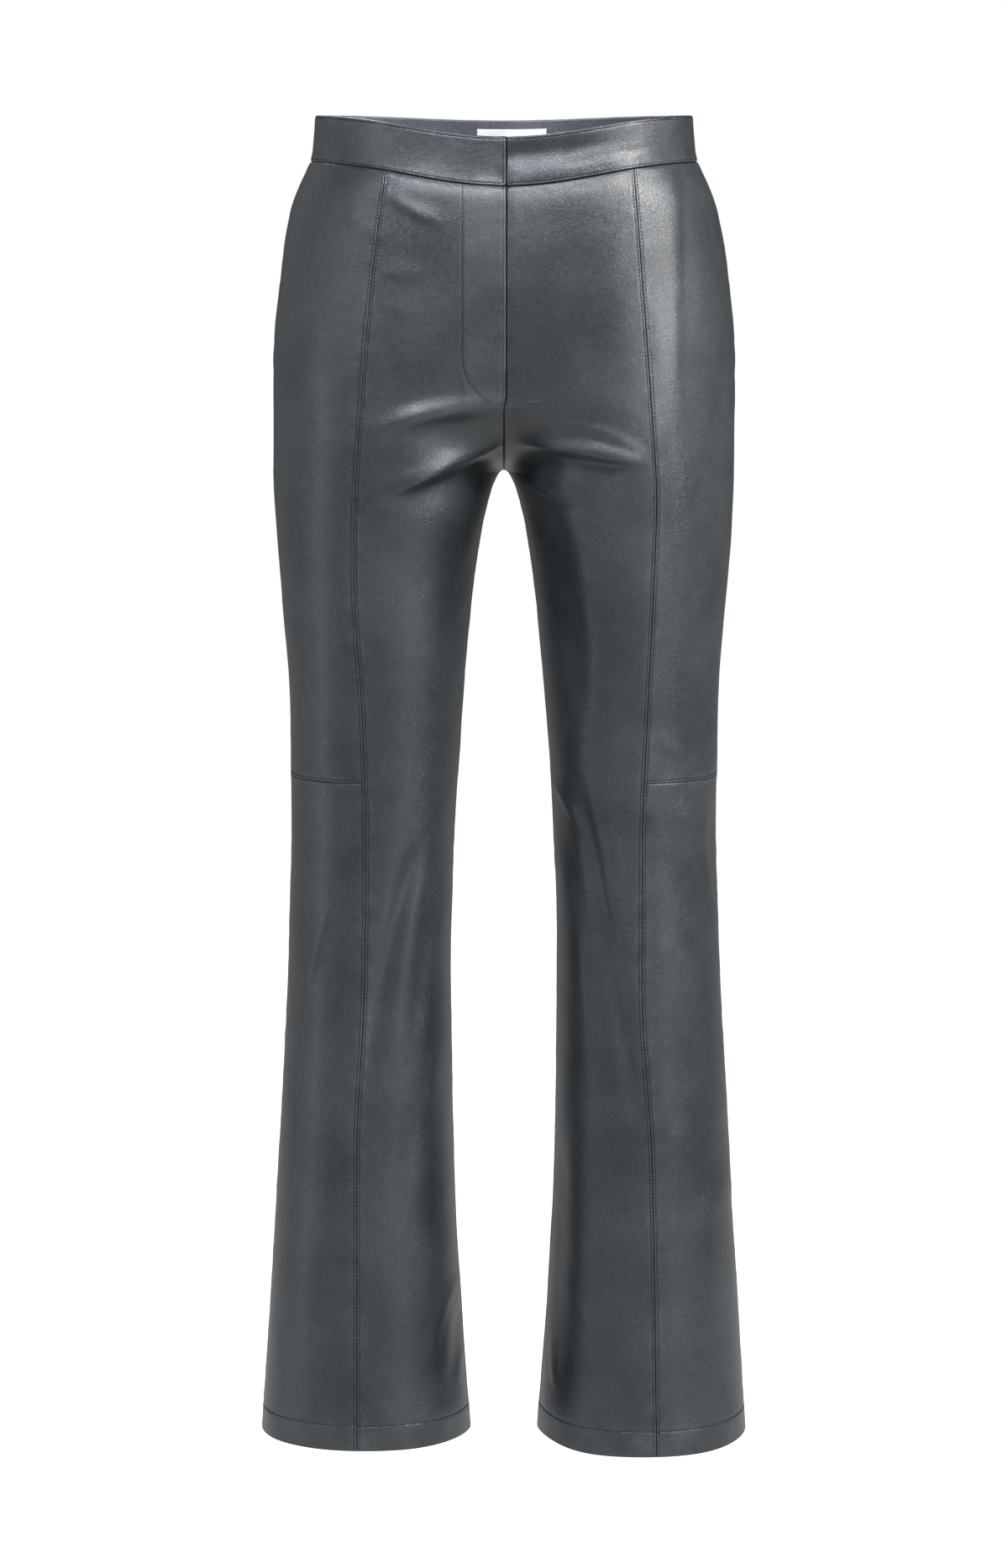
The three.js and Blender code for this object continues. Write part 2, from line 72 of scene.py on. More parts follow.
# The walls, their rounded edges, the fly, the label and the underlap
WALL = 1.2
HEM_FOLD = 1.1
HEM_EDGE = 0.8
BAND_WALL = 2.6
BAND_EDGE = 1.3
LAP_THINNED = 1.45
FACING_WALL = 1.0
HEM_STITCH = 20
FLY_LAP = 1.25
FLY_WIDTH = 32
FLY_TURN = 180
FLY_FOOT = 218.5
LABEL_WALL = 0.7
LABEL_WIDTH = 55
LABEL_HEIGHT = 22
LABEL_DROP = 7
LABEL_ASIDE = 6.5
UNDERLAP_REACH = 29
UNDERLAP_TOP = 4
UNDERLAP_GAP = 0.5
LABEL_GAP = 0.35
FACING_REACH = 9
FACING_GAP = 0.3

PANEL_TOP = BAND_HEIGHT + SEAM_GAP / 2
BAND_FOOT_DEPTH = BAND_HEIGHT - SEAM_GAP / 2

# depth, outer, inner, ridge, front, back
SECTIONS = np.array([
    (0, 148, 0, 45, -98, 102),
    (35, 151.6, 0, 48, -102.8, 106.6),
    (40, 153.8, 0, 50, -105.5, 110),
    (49, 158.2, 0, 52, -108.8, 114.6),
    (66, 164.8, 0, 55, -112, 120),
    (94, 171.5, 0, 60, -115, 127),
    (133, 177.5, 0, 66, -117, 133),
    (180, 181.3, 0, 72, -118, 136),
    (226, 182.6, 0, 79, -117, 134),
    (CROTCH_DEPTH, 182.5, 0, 90, -111, 125),
    (330, 180, 18, 97, -103, 112),
    (CROTCH_DEPTH + LEG_GAP_END, 176, 25.1, 100, -95, 102),
    (450, 171, 31.8, 102, -86, 93),
    (533, 169.3, 37.5, 104, -76, 85),
    (655, 171.8, 42.3, 107, -73, 84),
    (818, 180.6, 40.4, 110, -77, 88),
    (950, 188.6, 34.2, 111.5, -83, 92),
    (SIDE_LENGTH, 195.3, 26.8, 111, -88, 96),
], float)

# depth, right, left: where the long front seam lies
FRONT_SEAM = np.array([
    (BAND_HEIGHT, 91, 100),
    (124, 102, 106.5),
    (223, 110.5, 113.5),
    (300, 115.5, 118),
    (349, 116.8, 116.8),
    (467, 110.8, 112),
    (562, 108.5, 108.6),
    (680, 110, 108.5),
    (820, 116.3, 116.7),
    (SIDE_LENGTH, 116.4, 121),
], float)

# The folds of the back, as the solids have them: x0, d0, x1, d1, bow, spread, height
FOLDS = {
    "right": (
        (18, 292, 118, 272, 12, 11, -4.5),
        (26, 320, 128, 306, 8, 11, -3),
        (56, 506, 150, 488, 5, 10, -3.6),
        (64, 540, 156, 552, -5, 11, -4),
        (60, 572, 140, 604, 4, 10, -2.6),
        (66, 640, 120, 860, 8, 14, -3.6),
        (148, 700, 128, 900, 6, 13, 3),
    ),
    "left": (
        (16, 296, 112, 280, 9, 12, -4),
        (30, 328, 134, 300, 10, 10, -3.2),
        (54, 498, 146, 512, -6, 11, -3.4),
        (70, 532, 158, 536, 4, 9, -4.2),
        (58, 560, 132, 590, 5, 11, -3),
        (74, 650, 96, 880, 7, 14, -3.2),
        (150, 660, 140, 840, 8, 12, 2.8),
    ),
}

# Creases and rolls of the front along bent lines: three places (x and depth), the spread on the
# right of travel and on its left, and the height
CREASES = {
    "right": (
        (-30, 223, 42, 224, 110, 249, 7, 8.5, 6.6),
        (-8, 247, 42, 268, 106, 298, 4.5, 11, 6.3),
        (5, 264, 38, 280, 92, 301, 15, 3.2, -3.8),
        (4, 233, 45, 241, 96, 253, 8, 6, -1.4),
        (44, 69, 71, 63, 95, 49, 3, 7, 1.3),
        (96, 91, 109, 79, 123, 71, 7, 5, 0.7),
        (61, 111, 80, 115, 97, 113, 3.5, 12, 1.2),
        (64, 145, 84, 143, 98, 133, 4, 10, 0.6),
        (106, 119, 112, 181, 117, 247, 4, 4, 0.7),
        (58, 551, 88, 649, 112, 787, 7, 10, -4.6),
        (50, 561, 61, 653, 76, 759, 7, 8, -2.0),
        (136, 613, 150, 661, 165, 719, 3, 4.5, 1.4),
        (54, 725, 57, 755, 60, 789, 5, 4, 0.9),
        (71, 765, 78, 825, 92, 891, 7, 7, -1.4),
        (36, 923, 50, 949, 59, 989, 4, 8, 1.5),
        (35, 941, 37, 977, 40, 1023, 6, 6, -1.6),
        (32, 983, 35, 995, 37, 1011, 2.5, 3, 0.7),
        (129, 879, 135, 919, 134, 965, 12, 12, -0.8),
        (20, 29, 60, 31, 100, 33, 6, 6, 0.35),
        (-40, 40, 50, 40, 130, 38, 12, 16, 1.1),
        (118, 30, 132, 29, 148, 29, 3, 4, 0.5),
    ),
    "left": (
        (30, 223, -42, 224, -110, 249, 8.5, 7, 6.6),
        (11, 252, 65, 258, 116, 269, 3.5, 9, 5.8),
        (20, 251, 60, 239, 114, 262, 3, 4, 2.0),
        (3, 260, 46, 265, 108, 274, 15, 3.5, -3.8),
        (15, 283, 30, 291, 45, 297, 2.5, 3, 1.2),
        (26, 303, 45, 305, 66, 297, 6, 6, -1.2),
        (36, 219, 65, 217, 104, 227, 9, 9, 0.5),
        (15, 287, 45, 367, 56, 519, 13, 15, -5.5),
        (53, 501, 81, 645, 115, 831, 10, 8, -5.2),
        (38, 531, 60, 621, 82, 759, 8, 8, -2.4),
        (38, 523, 48, 539, 63, 569, 3, 4, 1.2),
        (131, 33, 133, 110, 135, 250, 12, 4, 2.0),
        (117, 124, 118, 170, 122, 214, 3.5, 3.5, 0.45),
        (98, 132, 120, 130, 144, 126, 5, 6, -0.8),
        (100, 99, 120, 99, 140, 97, 5, 7, 0.5),
        (135, 529, 156, 581, 172, 661, 8, 4, 3.2),
        (150, 533, 158, 551, 162, 577, 4, 4, 1.2),
        (164, 537, 167, 585, 171, 637, 5, 8, -2.4),
        (119, 479, 140, 503, 165, 523, 3.5, 9, 2.0),
        (156, 475, 164, 493, 169, 525, 5, 6, 1.6),
        (118, 643, 132, 665, 153, 711, 8, 9, 1.0),
        (176, 827, 160, 889, 173, 967, 9, 12, 2.8),
        (126, 793, 141, 803, 157, 795, 5, 8, 0.9),
        (145, 747, 162, 773, 173, 803, 5, 8, 1.2),
        (57, 933, 63, 947, 69, 961, 2.5, 3, 0.5),
        (41, 779, 43, 895, 36, 1023, 8, 10, -2.2),
        (39, 963, 38, 989, 42, 1013, 2, 3, 0.8),
        (173, 1029, 178, 1037, 179, 1049, 3, 3, 0.9),
        (-45, 14, 40, 12, 108, 13, 8, 7, -2.0),
        (-45, 30, 50, 30, 124, 31, 7, 8, 1.6),
        (45, 18, 57, 8, 95, 3.5, 3.5, 2.5, 0.7),
        (36, 24, 75, 23, 118, 22, 3, 3, -0.4),
    ),
}


def smooth(low, high, value):
    t = np.clip((value - low) / (high - low), 0, 1)
    return t * t * (3 - 2 * t)


def curve_through(xs, ys):
    """A smooth curve through a table's column, with no overshoot between its rows."""
    rise = np.diff(ys) / np.diff(xs)
    slope = np.zeros_like(ys)
    slope[0], slope[-1] = rise[0], rise[-1]
    a, b = rise[:-1], rise[1:]
    same = a * b > 0
    slope[1:-1] = np.where(same, 2 * a * b / np.where(same, a + b, 1), 0)

    def at(x):
        here = np.clip(x, xs[0], xs[-1])
        i = np.clip(np.searchsorted(xs, here, side="left") - 1, 0, len(xs) - 2)
        width = xs[i + 1] - xs[i]
        t = (here - xs[i]) / width
        start = (1 + 2 * t) * (1 - t) ** 2 * ys[i] + t * (1 - t) ** 2 * width * slope[i]
        end = t * t * (3 - 2 * t) * ys[i + 1] + t * t * (t - 1) * width * slope[i + 1]
        return start + end
    return at


outer_at, inner_at, ridge_at, front_at, back_at = (
    curve_through(SECTIONS[:, 0], SECTIONS[:, k]) for k in range(1, 6))
front_seam_at = {
    "right": curve_through(FRONT_SEAM[:, 0], FRONT_SEAM[:, 1]),
    "left": curve_through(FRONT_SEAM[:, 0], FRONT_SEAM[:, 2]),
}


def inner_x(depth):
    below = np.maximum(depth - CROTCH_DEPTH, 0)
    return np.where(below < LEG_GAP_END, LEG_GAP_RATE * np.sqrt(below), inner_at(depth))


def cubic(p1, p2, p3, t, p0=0.0):
    s = 1 - t
    return s ** 3 * p0 + 3 * s * s * t * p1 + 3 * s * t * t * p2 + t ** 3 * p3


def inner_quarter(depth, face_y, swell, rise_start, t):
    """From the inner end, on the centre line or the inseam, to the ridge."""
    middle = (front_at(depth) + back_at(depth)) / 2
    reach = face_y - middle
    ridge = ridge_at(depth)
    share = np.clip((depth - rise_start) / (CROTCH_DEPTH - rise_start), 0, 1)
    rise = (1 - swell / np.abs(reach)) * np.sqrt(1 - share * share)
    fill = SADDLE_FILL * (1 - smooth(0, 1, rise))
    gap = inner_x(depth) / ridge
    saddle = (LEG_GAP_RATE / ridge) * math.sqrt((CROTCH_DEPTH - rise_start) / 2)
    parted = smooth(CROTCH_DEPTH, CROTCH_DEPTH + LEG_LEAN_REACH, depth)
    flattened = 1 - smooth(rise_start, CROTCH_DEPTH, depth)
    lean = saddle + (LEG_LEAN - saddle) * parted + (1 - saddle) * flattened
    across = cubic(INNER_HANDLE * lean, 1 - INNER_HANDLE, 1, t)
    out = cubic(INNER_HANDLE, 1, 1, t)
    x = ridge * np.hypot(across * np.sqrt(1 - gap * gap), gap)
    hollow = rise * np.maximum(1 - out * out, 0) ** ((1 + fill) / 2)
    return x, middle + reach * np.hypot(out, hollow)


def side_quarter(depth, face_y, t):
    middle = (front_at(depth) + back_at(depth)) / 2
    ridge = ridge_at(depth)
    outer = outer_at(depth)
    x = cubic(ridge + SIDE_HANDLE * (outer - ridge), outer, outer, t, ridge)
    y = cubic(face_y, middle + SIDE_HANDLE * (face_y - middle), middle, t, face_y)
    return x, y


def bare_surface(half, depth, turn):
    """Points of the smooth form, for arrays of depth and of turn from 0 to 4."""
    depth, turn = np.broadcast_arrays(np.asarray(depth, float), np.asarray(turn, float))
    front, back = front_at(depth), back_at(depth)
    quarters = (
        inner_quarter(depth, front, BELLY, RISE_START_FRONT, np.clip(turn, 0, 1)),
        side_quarter(depth, front, np.clip(turn - 1, 0, 1)),
        side_quarter(depth, back, np.clip(3 - turn, 0, 1)),
        inner_quarter(depth, back, CLEFT, RISE_START_BACK, np.clip(4 - turn, 0, 1)),
    )
    which = [turn <= 1, turn <= 2, turn <= 3]
    x = np.select(which, [q[0] for q in quarters[:3]], quarters[3][0])
    y = np.select(which, [q[1] for q in quarters[:3]], quarters[3][1])
    middle = (front + back) / 2
    dip = np.where(y < middle, FRONT_DIP + BAND_DROP * smooth(0, BAND_HEIGHT, depth), BACK_DIP)
    across = np.minimum(1, np.abs(x) / outer_at(depth))
    fade = 1 - smooth(BAND_HEIGHT, DIP_END_DEPTH, depth)
    z = -depth - dip * 0.5 * (1 + np.cos(np.pi * across)) * fade
    if half == "left":
        lower = smooth(SIDE_LENGTH - 120, SIDE_LENGTH, depth)
        z = z - LEFT_HEM_DROP * lower * smooth(0, 1, y / front)
    return np.stack([x, y, z], axis=-1)


def bare_beyond(half, depth, turn):
    """The surface past a section's ends: round the leg, or above the crotch the other half."""
    depth, turn = np.broadcast_arrays(np.asarray(depth, float), np.asarray(turn, float))
    below = depth > CROTCH_DEPTH
    wrapped = np.where(turn < 0, turn + 4, np.where(turn > 4, turn - 4, turn))
    mirrored = np.where(turn < 0, -turn, np.where(turn > 4, 8 - turn, turn))
    point = bare_surface(half, depth, np.where(below, wrapped, mirrored))
    flip = ~below & ((turn < 0) | (turn > 4))
    point[..., 0] = np.where(flip, -point[..., 0], point[..., 0])
    return point


def unit(v):
    return v / np.maximum(np.linalg.norm(v, axis=-1, keepdims=True), 1e-12)


def bare_normal(half, depth, turn):
    step = 0.03
    along = bare_beyond(half, depth, turn + step) - bare_beyond(half, depth, turn - step)
    down = bare_beyond(half, depth + step, turn) - bare_beyond(half, depth - step, turn)
    return unit(np.cross(down, along))


def fold_shift(row, x, depth):
    x0, d0, x1, d1, bow, spread, height = row
    dx, dd = x1 - x0, d1 - d0
    long = math.hypot(dx, dd)
    along = ((x - x0) * dx + (depth - d0) * dd) / (long * long)
    held = np.clip(along, 0, 1)
    lean = bow * 4 * held * (1 - held)
    away = ((x - x0) * dd - (depth - d0) * dx) / long - lean
    past = (along - held) * long
    fade = smooth(-0.08, 0.22, along) * (1 - smooth(0.72, 1.08, along))
    return height * fade * np.exp(-(away ** 2 + past ** 2) / spread ** 2)


def crease_shift(row, x, depth):
    """A crease or roll along a bent line, with its own width on either side of it."""
    x0, d0, x1, d1, x2, d2, right, left, height = row
    reach = 2.6 * max(right, left)
    box = ((x > min(x0, x1, x2) - reach) & (x < max(x0, x1, x2) + reach)
           & (depth > min(d0, d1, d2) - reach) & (depth < max(d0, d1, d2) + reach))
    shift = np.zeros(x.shape)
    if not box.any():
        return shift
    px, pd = x[box], depth[box]
    t = np.linspace(0, 1, 15)
    mid_x, mid_d = 2 * x1 - (x0 + x2) / 2, 2 * d1 - (d0 + d2) / 2
    line_x = (1 - t) ** 2 * x0 + 2 * t * (1 - t) * mid_x + t * t * x2
    line_d = (1 - t) ** 2 * d0 + 2 * t * (1 - t) * mid_d + t * t * d2
    near = np.full(px.shape, 1e9)
    side = np.zeros(px.shape)
    along = np.zeros(px.shape)
    for k in range(len(t) - 1):
        dx, dd = line_x[k + 1] - line_x[k], line_d[k + 1] - line_d[k]
        held = np.clip(((px - line_x[k]) * dx + (pd - line_d[k]) * dd) / (dx * dx + dd * dd), 0, 1)
        away = np.hypot(px - line_x[k] - held * dx, pd - line_d[k] - held * dd)
        closer = away < near
        near = np.where(closer, away, near)
        side = np.where(closer, dx * (pd - line_d[k]) - dd * (px - line_x[k]), side)
        along = np.where(closer, (k + held) / (len(t) - 1), along)
    soft = 0.5 * (1 + np.tanh(side / np.hypot(x2 - x0, d2 - d0) * (len(t) - 1) / 2))
    spread = left + (right - left) * soft
    fade = smooth(-0.02, 0.32, along) * (1 - smooth(0.68, 1.02, along))
    shift[box] = height * fade * np.exp(-(near / spread) ** 2)
    return shift


def waves(seed, point, size):
    """Soft unevenness from a few crossed sine waves, between about -1 and 1."""
    draw = np.random.RandomState(seed)
    total = np.zeros(point.shape[:-1])
    for _ in range(7):
        direction = draw.normal(size=3)
        direction *= (0.7 + 0.8 * draw.rand()) / np.linalg.norm(direction)
        total += np.sin(point @ direction * (2 * np.pi / size) + draw.rand() * 6.283)
    return total / 3.5


# The slight unevenness all over: the size and the height of its waves
SOFT_WAVES = ((150, 0.45), (48, 0.14))


def leather(half, depth, turn):
    """The leather's outer surface and the way it faces, with its folds."""
    point = bare_beyond(half, depth, turn)
    normal = bare_normal(half, depth, turn)
    x = np.abs(point[..., 0])
    shift = np.zeros(x.shape)
    depth = depth + shift
    for table, form, face in ((FOLDS, fold_shift, 1), (CREASES, crease_shift, -1)):
        shown = smooth(-0.1, 0.35, face * normal[..., 1])
        for row in table[half]:
            shift += form(row, x, depth) * shown
    if half == "left":
        upper = 1 - smooth(FLY_DEPTH - 6, FLY_DEPTH + 16, depth)
        front = normal[..., 1] < 0
        shift -= np.where(front, FLY_STEP * upper * (1 - smooth(0, FLY_STEP_REACH, x)), 0)
    seed = 11 if half == "left" else 5
    calm = smooth(BAND_HEIGHT, BAND_HEIGHT + 40, depth)
    soft = [height * waves(seed + k, point, size) for k, (size, height) in enumerate(SOFT_WAVES)]
    shift += calm * (soft[0] + soft[1])
    return point + normal * shift[..., None], normal


class Ruler:
    """Lengths along the sections at some depths, so that widths can be given in millimetres.
    Past a section's ends they run on round the leg, or above the crotch on the other half."""

    def __init__(self, half, depths):
        self.turns = np.linspace(0, 4, 257)
        depths = np.asarray(depths, float)
        self.round = depths > CROTCH_DEPTH
        points = bare_surface(half, depths[:, None], self.turns[None, :])
        steps = np.linalg.norm(np.diff(points, axis=1), axis=-1)
        self.lengths = np.concatenate([np.zeros((len(steps), 1)), np.cumsum(steps, axis=1)], axis=1)
        self.whole = self.lengths[:, -1]

    def length_at(self, turn):
        turn = np.asarray(turn, float).reshape(len(self.whole), -1)
        out = np.empty_like(turn)
        for j, row in enumerate(turn):
            whole = self.whole[j]
            known = lambda value: np.interp(value, self.turns, self.lengths[j])
            if self.round[j]:
                lap = np.where(row > 4, 1, np.where(row < 0, -1, 0))
                out[j] = known(row - 4 * lap) + lap * whole
            else:
                onward = np.where(row > 4, 2 * whole - known(8 - row), known(row))
                out[j] = np.where(row < 0, -known(-row), onward)
        return out

    def turn_at(self, length):
        length = np.asarray(length, float).reshape(len(self.whole), -1)
        out = np.empty_like(length)
        for j, row in enumerate(length):
            whole = self.whole[j]
            known = lambda value: np.interp(value, self.lengths[j], self.turns)
            if self.round[j]:
                lap = np.where(row > whole, 1, np.where(row < 0, -1, 0))
                out[j] = known(row - lap * whole) + 4 * lap
            else:
                onward = np.where(row > whole, 8 - known(2 * whole - row), known(row))
                out[j] = np.where(row < 0, -known(-row), onward)
        return out

    def offset(self, turn, by):
        return self.turn_at(self.length_at(turn) + by)


def front_seam_turn(half, depths):
    target = front_seam_at[half](np.asarray(depths, float))
    low = np.zeros(len(depths))
    high = np.full(len(depths), 2.0)
    for _ in range(40):
        turn = (low + high) / 2
        less = bare_surface(half, depths, turn)[..., 0] < target
        low = np.where(less, turn, low)
        high = np.where(less, high, turn)
    return low[:, None]


def side_seam_turn(ruler):
    return ruler.offset(np.full((len(ruler.whole), 1), 2.0), SIDE_SEAM_BACK)


def pocket_cut(depths):
    share = np.clip((np.asarray(depths) - POCKET_TOP) / (POCKET_BOTTOM - POCKET_TOP), 0, 1)
    return (POCKET_BOW * np.sin(np.pi * share) ** 2)[:, None]


def inseam_length(depths):
    return (INSEAM_FORWARD * smooth(CROTCH_DEPTH + 10, CROTCH_DEPTH + 70, np.asarray(depths)))[:, None]


# How a piece's edge is dressed, as height against the distance from its edge
SEAM = (
    (0, 0.2, 0.45, 1.15, 1.65, 2.2, 2.8, 3.6, 5.5, 9),
    (-0.8, -0.45, 0.06, 0.22, 0.14, -0.03, 0.08, 0.14, 0.06, 0),
)
PLAIN_SEAM = ((0, 0.3, 0.7, 1.6, 3, 6), (-0.75, -0.25, 0.08, 0.16, 0.08, 0))
UNDER_BAND = ((0, 0.35, 0.7, 1.5, 4, 10), (-0.7, -0.4, -0.08, 0.03, 0.05, 0))
UNDER_LAP = ((0, 1.5, 1.9, 2.5, 3.4, 6), (-0.9, -0.9, -0.5, 0.0, 0.06, 0))
BAND_FOOT = ((0, 0.25, 0.6, 1.1, 1.7, 2.3, 3.4, 5.5), (-0.5, 0.0, 0.3, 0.3, -0.1, 0.2, 0.12, 0))
BAND_TOP = ((0.9, 1.5, 2.1, 2.7, 3.6, 6), (0, 0.05, -0.22, 0.06, 0.12, 0))
LAP = ((0, 0.2, 0.6, 1.3, 2.0, 2.6, 3.6, 6), (-0.3, -0.05, 0.22, 0.26, -0.22, -0.04, 0.1, 0))
POCKET = ((0, 0.3, 0.8, 2.0, 4.2, 5.0, 5.8, 8, 12), (-0.3, 0.25, 0.55, 0.6, 0.35, 0.1, 0.28, 0.12, 0))
FLY_LINE = ((0, 0.35, 0.9, 2.2, 4.5), (-0.32, -0.2, 0.04, 0.08, 0))
HEM_LINE = ((-9, -3, -0.9, -0.3, 0, 0.3, 0.9, 3, 8), (0.12, 0.2, 0.14, -0.14, -0.3, -0.14, 0.02, 0.08, 0))

# How a piece's rows and columns lie: at these distances from its edges and from the hem's stitches
NEAR = (0, 0.2, 0.45, 0.75, 1.15, 1.65, 2.2, 2.8, 3.6, 4.6, 6)
NEAR_HEM_STITCH = (-3, -2.2, -1.5, -0.9, -0.4, 0, 0.4, 0.9, 1.5, 2.2, 3)
CROTCH_ROWS = 14
CROTCH_SPACING = 0.12
# About how wide the pieces are, for the number of their columns
CENTRE_WIDTH = 150
SIDE_WIDTH = 110
BACK_WIDTH = 250
BAND_WIDTH = 155
# How far a piece reaches past the middle of its seam
OVERLAP = 0.03


def relief(profile, away):
    return np.interp(away, profile[0], profile[1], right=0)


def graded(start, end, step):
    """Places from start to end, close together near both ends."""
    near = np.array(NEAR)
    near = near[near < (end - start) * 0.3]
    room = end - start - 2 * near[-1]
    inner = np.linspace(start + near[-1], end - near[-1], max(2, round(room / step)) + 1)
    return np.concatenate([start + near[:-1], inner, (end - near[:-1])[::-1]])


def panel_depths(top, bottom, step=3.2, hem=False):
    rows = graded(top, bottom, step)
    if top < CROTCH_DEPTH < bottom:
        k = np.arange(-CROTCH_ROWS, CROTCH_ROWS + 1)
        fine = CROTCH_DEPTH + np.sign(k) * CROTCH_SPACING * k.astype(float) ** 2
        rows = np.concatenate([rows[rows < fine[0] - 1], fine, rows[rows > fine[-1] + 1]])
    if hem:
        fine = bottom - HEM_STITCH + np.array(NEAR_HEM_STITCH)
        rows = np.concatenate([rows[rows < fine[0] - 0.4], fine, rows[rows > fine[-1] + 0.4]])
    return rows


def between(ruler, start, end, width, step):
    """Columns from one seam to the next: by length near them, and by turn in the middle."""
    near = np.array(NEAR)
    first = ruler.offset(start, near[None, :] - OVERLAP)
    last = ruler.offset(end, OVERLAP - near[::-1][None, :])
    count = max(3, round((width - 2 * near[-1]) / step))
    mix = np.linspace(0, 1, count + 1)[None, 1:-1]
    middle = first[:, -1:] * (1 - mix) + last[:, :1] * mix
    return np.concatenate([first, middle, last], axis=1)


def fly_lap(depths):
    """How far the right front reaches over the left one."""
    return (FLY_LAP * (1 - smooth(FLY_DEPTH - 12, FLY_DEPTH + 4, np.asarray(depths))))[:, None]


def centre_columns(half, depths, ruler):
    lap = fly_lap(depths) if half == "right" else 0
    start = ruler.turn_at(inseam_length(depths) - lap)
    return between(ruler, start, front_seam_turn(half, depths), CENTRE_WIDTH, 3.2)


def side_columns(half, depths, ruler):
    edge = ruler.offset(side_seam_turn(ruler), -pocket_cut(depths))
    return between(ruler, front_seam_turn(half, depths), edge, SIDE_WIDTH, 3.4)


def back_columns(half, depths, ruler):
    end = ruler.turn_at(ruler.whole[:, None] + inseam_length(depths))
    return between(ruler, side_seam_turn(ruler), end, BACK_WIDTH, 4.2)


def facing_columns(half, depths, ruler):
    """The facing that closes the pocket, from behind its opening to past the side seam."""
    side = ruler.length_at(side_seam_turn(ruler))
    return across_turns(ruler, side - pocket_cut(depths) - FACING_REACH, side + FACING_REACH, 12)


def band_columns(half, depths, ruler):
    """The front of the waistband, whose right end laps over the left one and is rounded below."""
    corner = rounding(BAND_FOOT_DEPTH - depths, 1.6)
    lap = np.where(half == "right", FLY_LAP - corner, 0)
    return between(ruler, ruler.turn_at(-lap), side_seam_turn(ruler), BAND_WIDTH, 2.4)


def back_band_columns(half, depths, ruler):
    start = ruler.length_at(side_seam_turn(ruler))[:, 0]
    return across_turns(ruler, start - OVERLAP, 2 * ruler.whole - start + OVERLAP, 150)


def whole_columns(reach, count, behind, aside=0.0):
    """Columns across the centre line, at the front or at the back."""
    def columns(half, depths, ruler):
        middle = (ruler.whole if behind else np.zeros_like(ruler.whole)) + aside
        return across_turns(ruler, middle - reach, middle + reach, count)
    return columns


def fly_stitch():
    """The fly's stitch line, as lengths from the centre front and depths."""
    angle = np.linspace(0, np.pi / 2, 30)
    straight = np.linspace(BAND_HEIGHT, FLY_TURN, 60)[:-1]
    length = np.concatenate([np.full(len(straight), FLY_WIDTH), FLY_WIDTH * np.cos(angle)])
    depth = np.concatenate([straight, FLY_TURN + (FLY_FOOT - FLY_TURN) * np.sin(angle) ** 0.92])
    return length, depth


def distance_to_path(length, depth, path):
    """The nearest distance to a path of lengths and depths."""
    least = np.full(length.shape, 1e9)
    for (a0, b0), (a1, b1) in zip(path[:-1], path[1:]):
        da, db = a1 - a0, b1 - b0
        t = np.clip(((length - a0) * da + (depth - b0) * db) / (da * da + db * db), 0, 1)
        least = np.minimum(least, np.hypot(length - a0 - t * da, depth - b0 - t * db))
    return least


def shell_faces(rows, columns, flipped):
    """The faces of a closed shell from an outer and an inner grid; flipped turns them round."""
    j, i = np.meshgrid(np.arange(rows - 1), np.arange(columns - 1), indexing="ij")
    at = lambda layer, jj, ii: layer * rows * columns + jj * columns + ii
    quads = [
        np.stack([at(0, j, i), at(0, j + 1, i), at(0, j + 1, i + 1), at(0, j, i + 1)], -1).reshape(-1, 4),
        np.stack([at(1, j, i), at(1, j, i + 1), at(1, j + 1, i + 1), at(1, j + 1, i)], -1).reshape(-1, 4),
    ]
    inner_from = len(quads[0])
    i = np.arange(columns - 1)
    end = rows - 1
    quads.append(np.stack([at(0, 0, i), at(0, 0, i + 1), at(1, 0, i + 1), at(1, 0, i)], -1))
    quads.append(np.stack([at(0, end, i + 1), at(0, end, i), at(1, end, i), at(1, end, i + 1)], -1))
    j = np.arange(rows - 1)
    end = columns - 1
    quads.append(np.stack([at(0, j + 1, 0), at(0, j, 0), at(1, j, 0), at(1, j + 1, 0)], -1))
    quads.append(np.stack([at(0, j, end), at(0, j + 1, end), at(1, j + 1, end), at(1, j, end)], -1))
    faces = np.concatenate(quads)
    if flipped:
        faces = faces[:, ::-1]
    return faces, inner_from


def add(name, data):
    made = bpy.data.objects.new(name, data)
    bpy.context.scene.collection.objects.link(made)
    return made


def make_mesh(name, points, faces):
    mesh = bpy.data.meshes.new(name)
    mesh.vertices.add(len(points))
    mesh.vertices.foreach_set("co", (points / 1000.0).astype(np.float32).ravel())
    corners = faces.shape[1]
    mesh.loops.add(faces.size)
    mesh.loops.foreach_set("vertex_index", faces.astype(np.int32).ravel())
    mesh.polygons.add(len(faces))
    mesh.polygons.foreach_set("loop_start", np.arange(0, faces.size, corners, dtype=np.int32))
    mesh.polygons.foreach_set("loop_total", np.full(len(faces), corners, dtype=np.int32))
    mesh.update(calc_edges=True)
    mesh.polygons.foreach_set("use_smooth", np.ones(len(faces), dtype=bool))
    return add(name, mesh)


def paint(obj, values):
    """Stores the height of the seams' and edges' relief on the points, which the leather's colour turns
    into painted shade where it is low and painted highlight where it is high.
    """
    layer = obj.data.attributes.new("height", "FLOAT", "POINT")
    layer.data.foreach_set("value", values.astype(np.float32).ravel())


PUCKER = 0.16
PUCKER_MIDDLE = 3.2
PUCKER_SPREAD = 4.5
INNER_EDGE = 0.3


def puckering(point, away):
    """The small ripples that a row of stitches draws in the leather beside a seam."""
    ripples = PUCKER * waves(23, point, 17) + 0.5 * PUCKER * waves(29, point, 9)
    return ripples * np.exp(-((away - PUCKER_MIDDLE) / PUCKER_SPREAD) ** 2)


def rounding(away, radius):
    """How far a rounded edge falls away from the face."""
    t = np.clip(1 - away / radius, 0, 1)
    return radius * (1 - np.sqrt(1 - t * t))


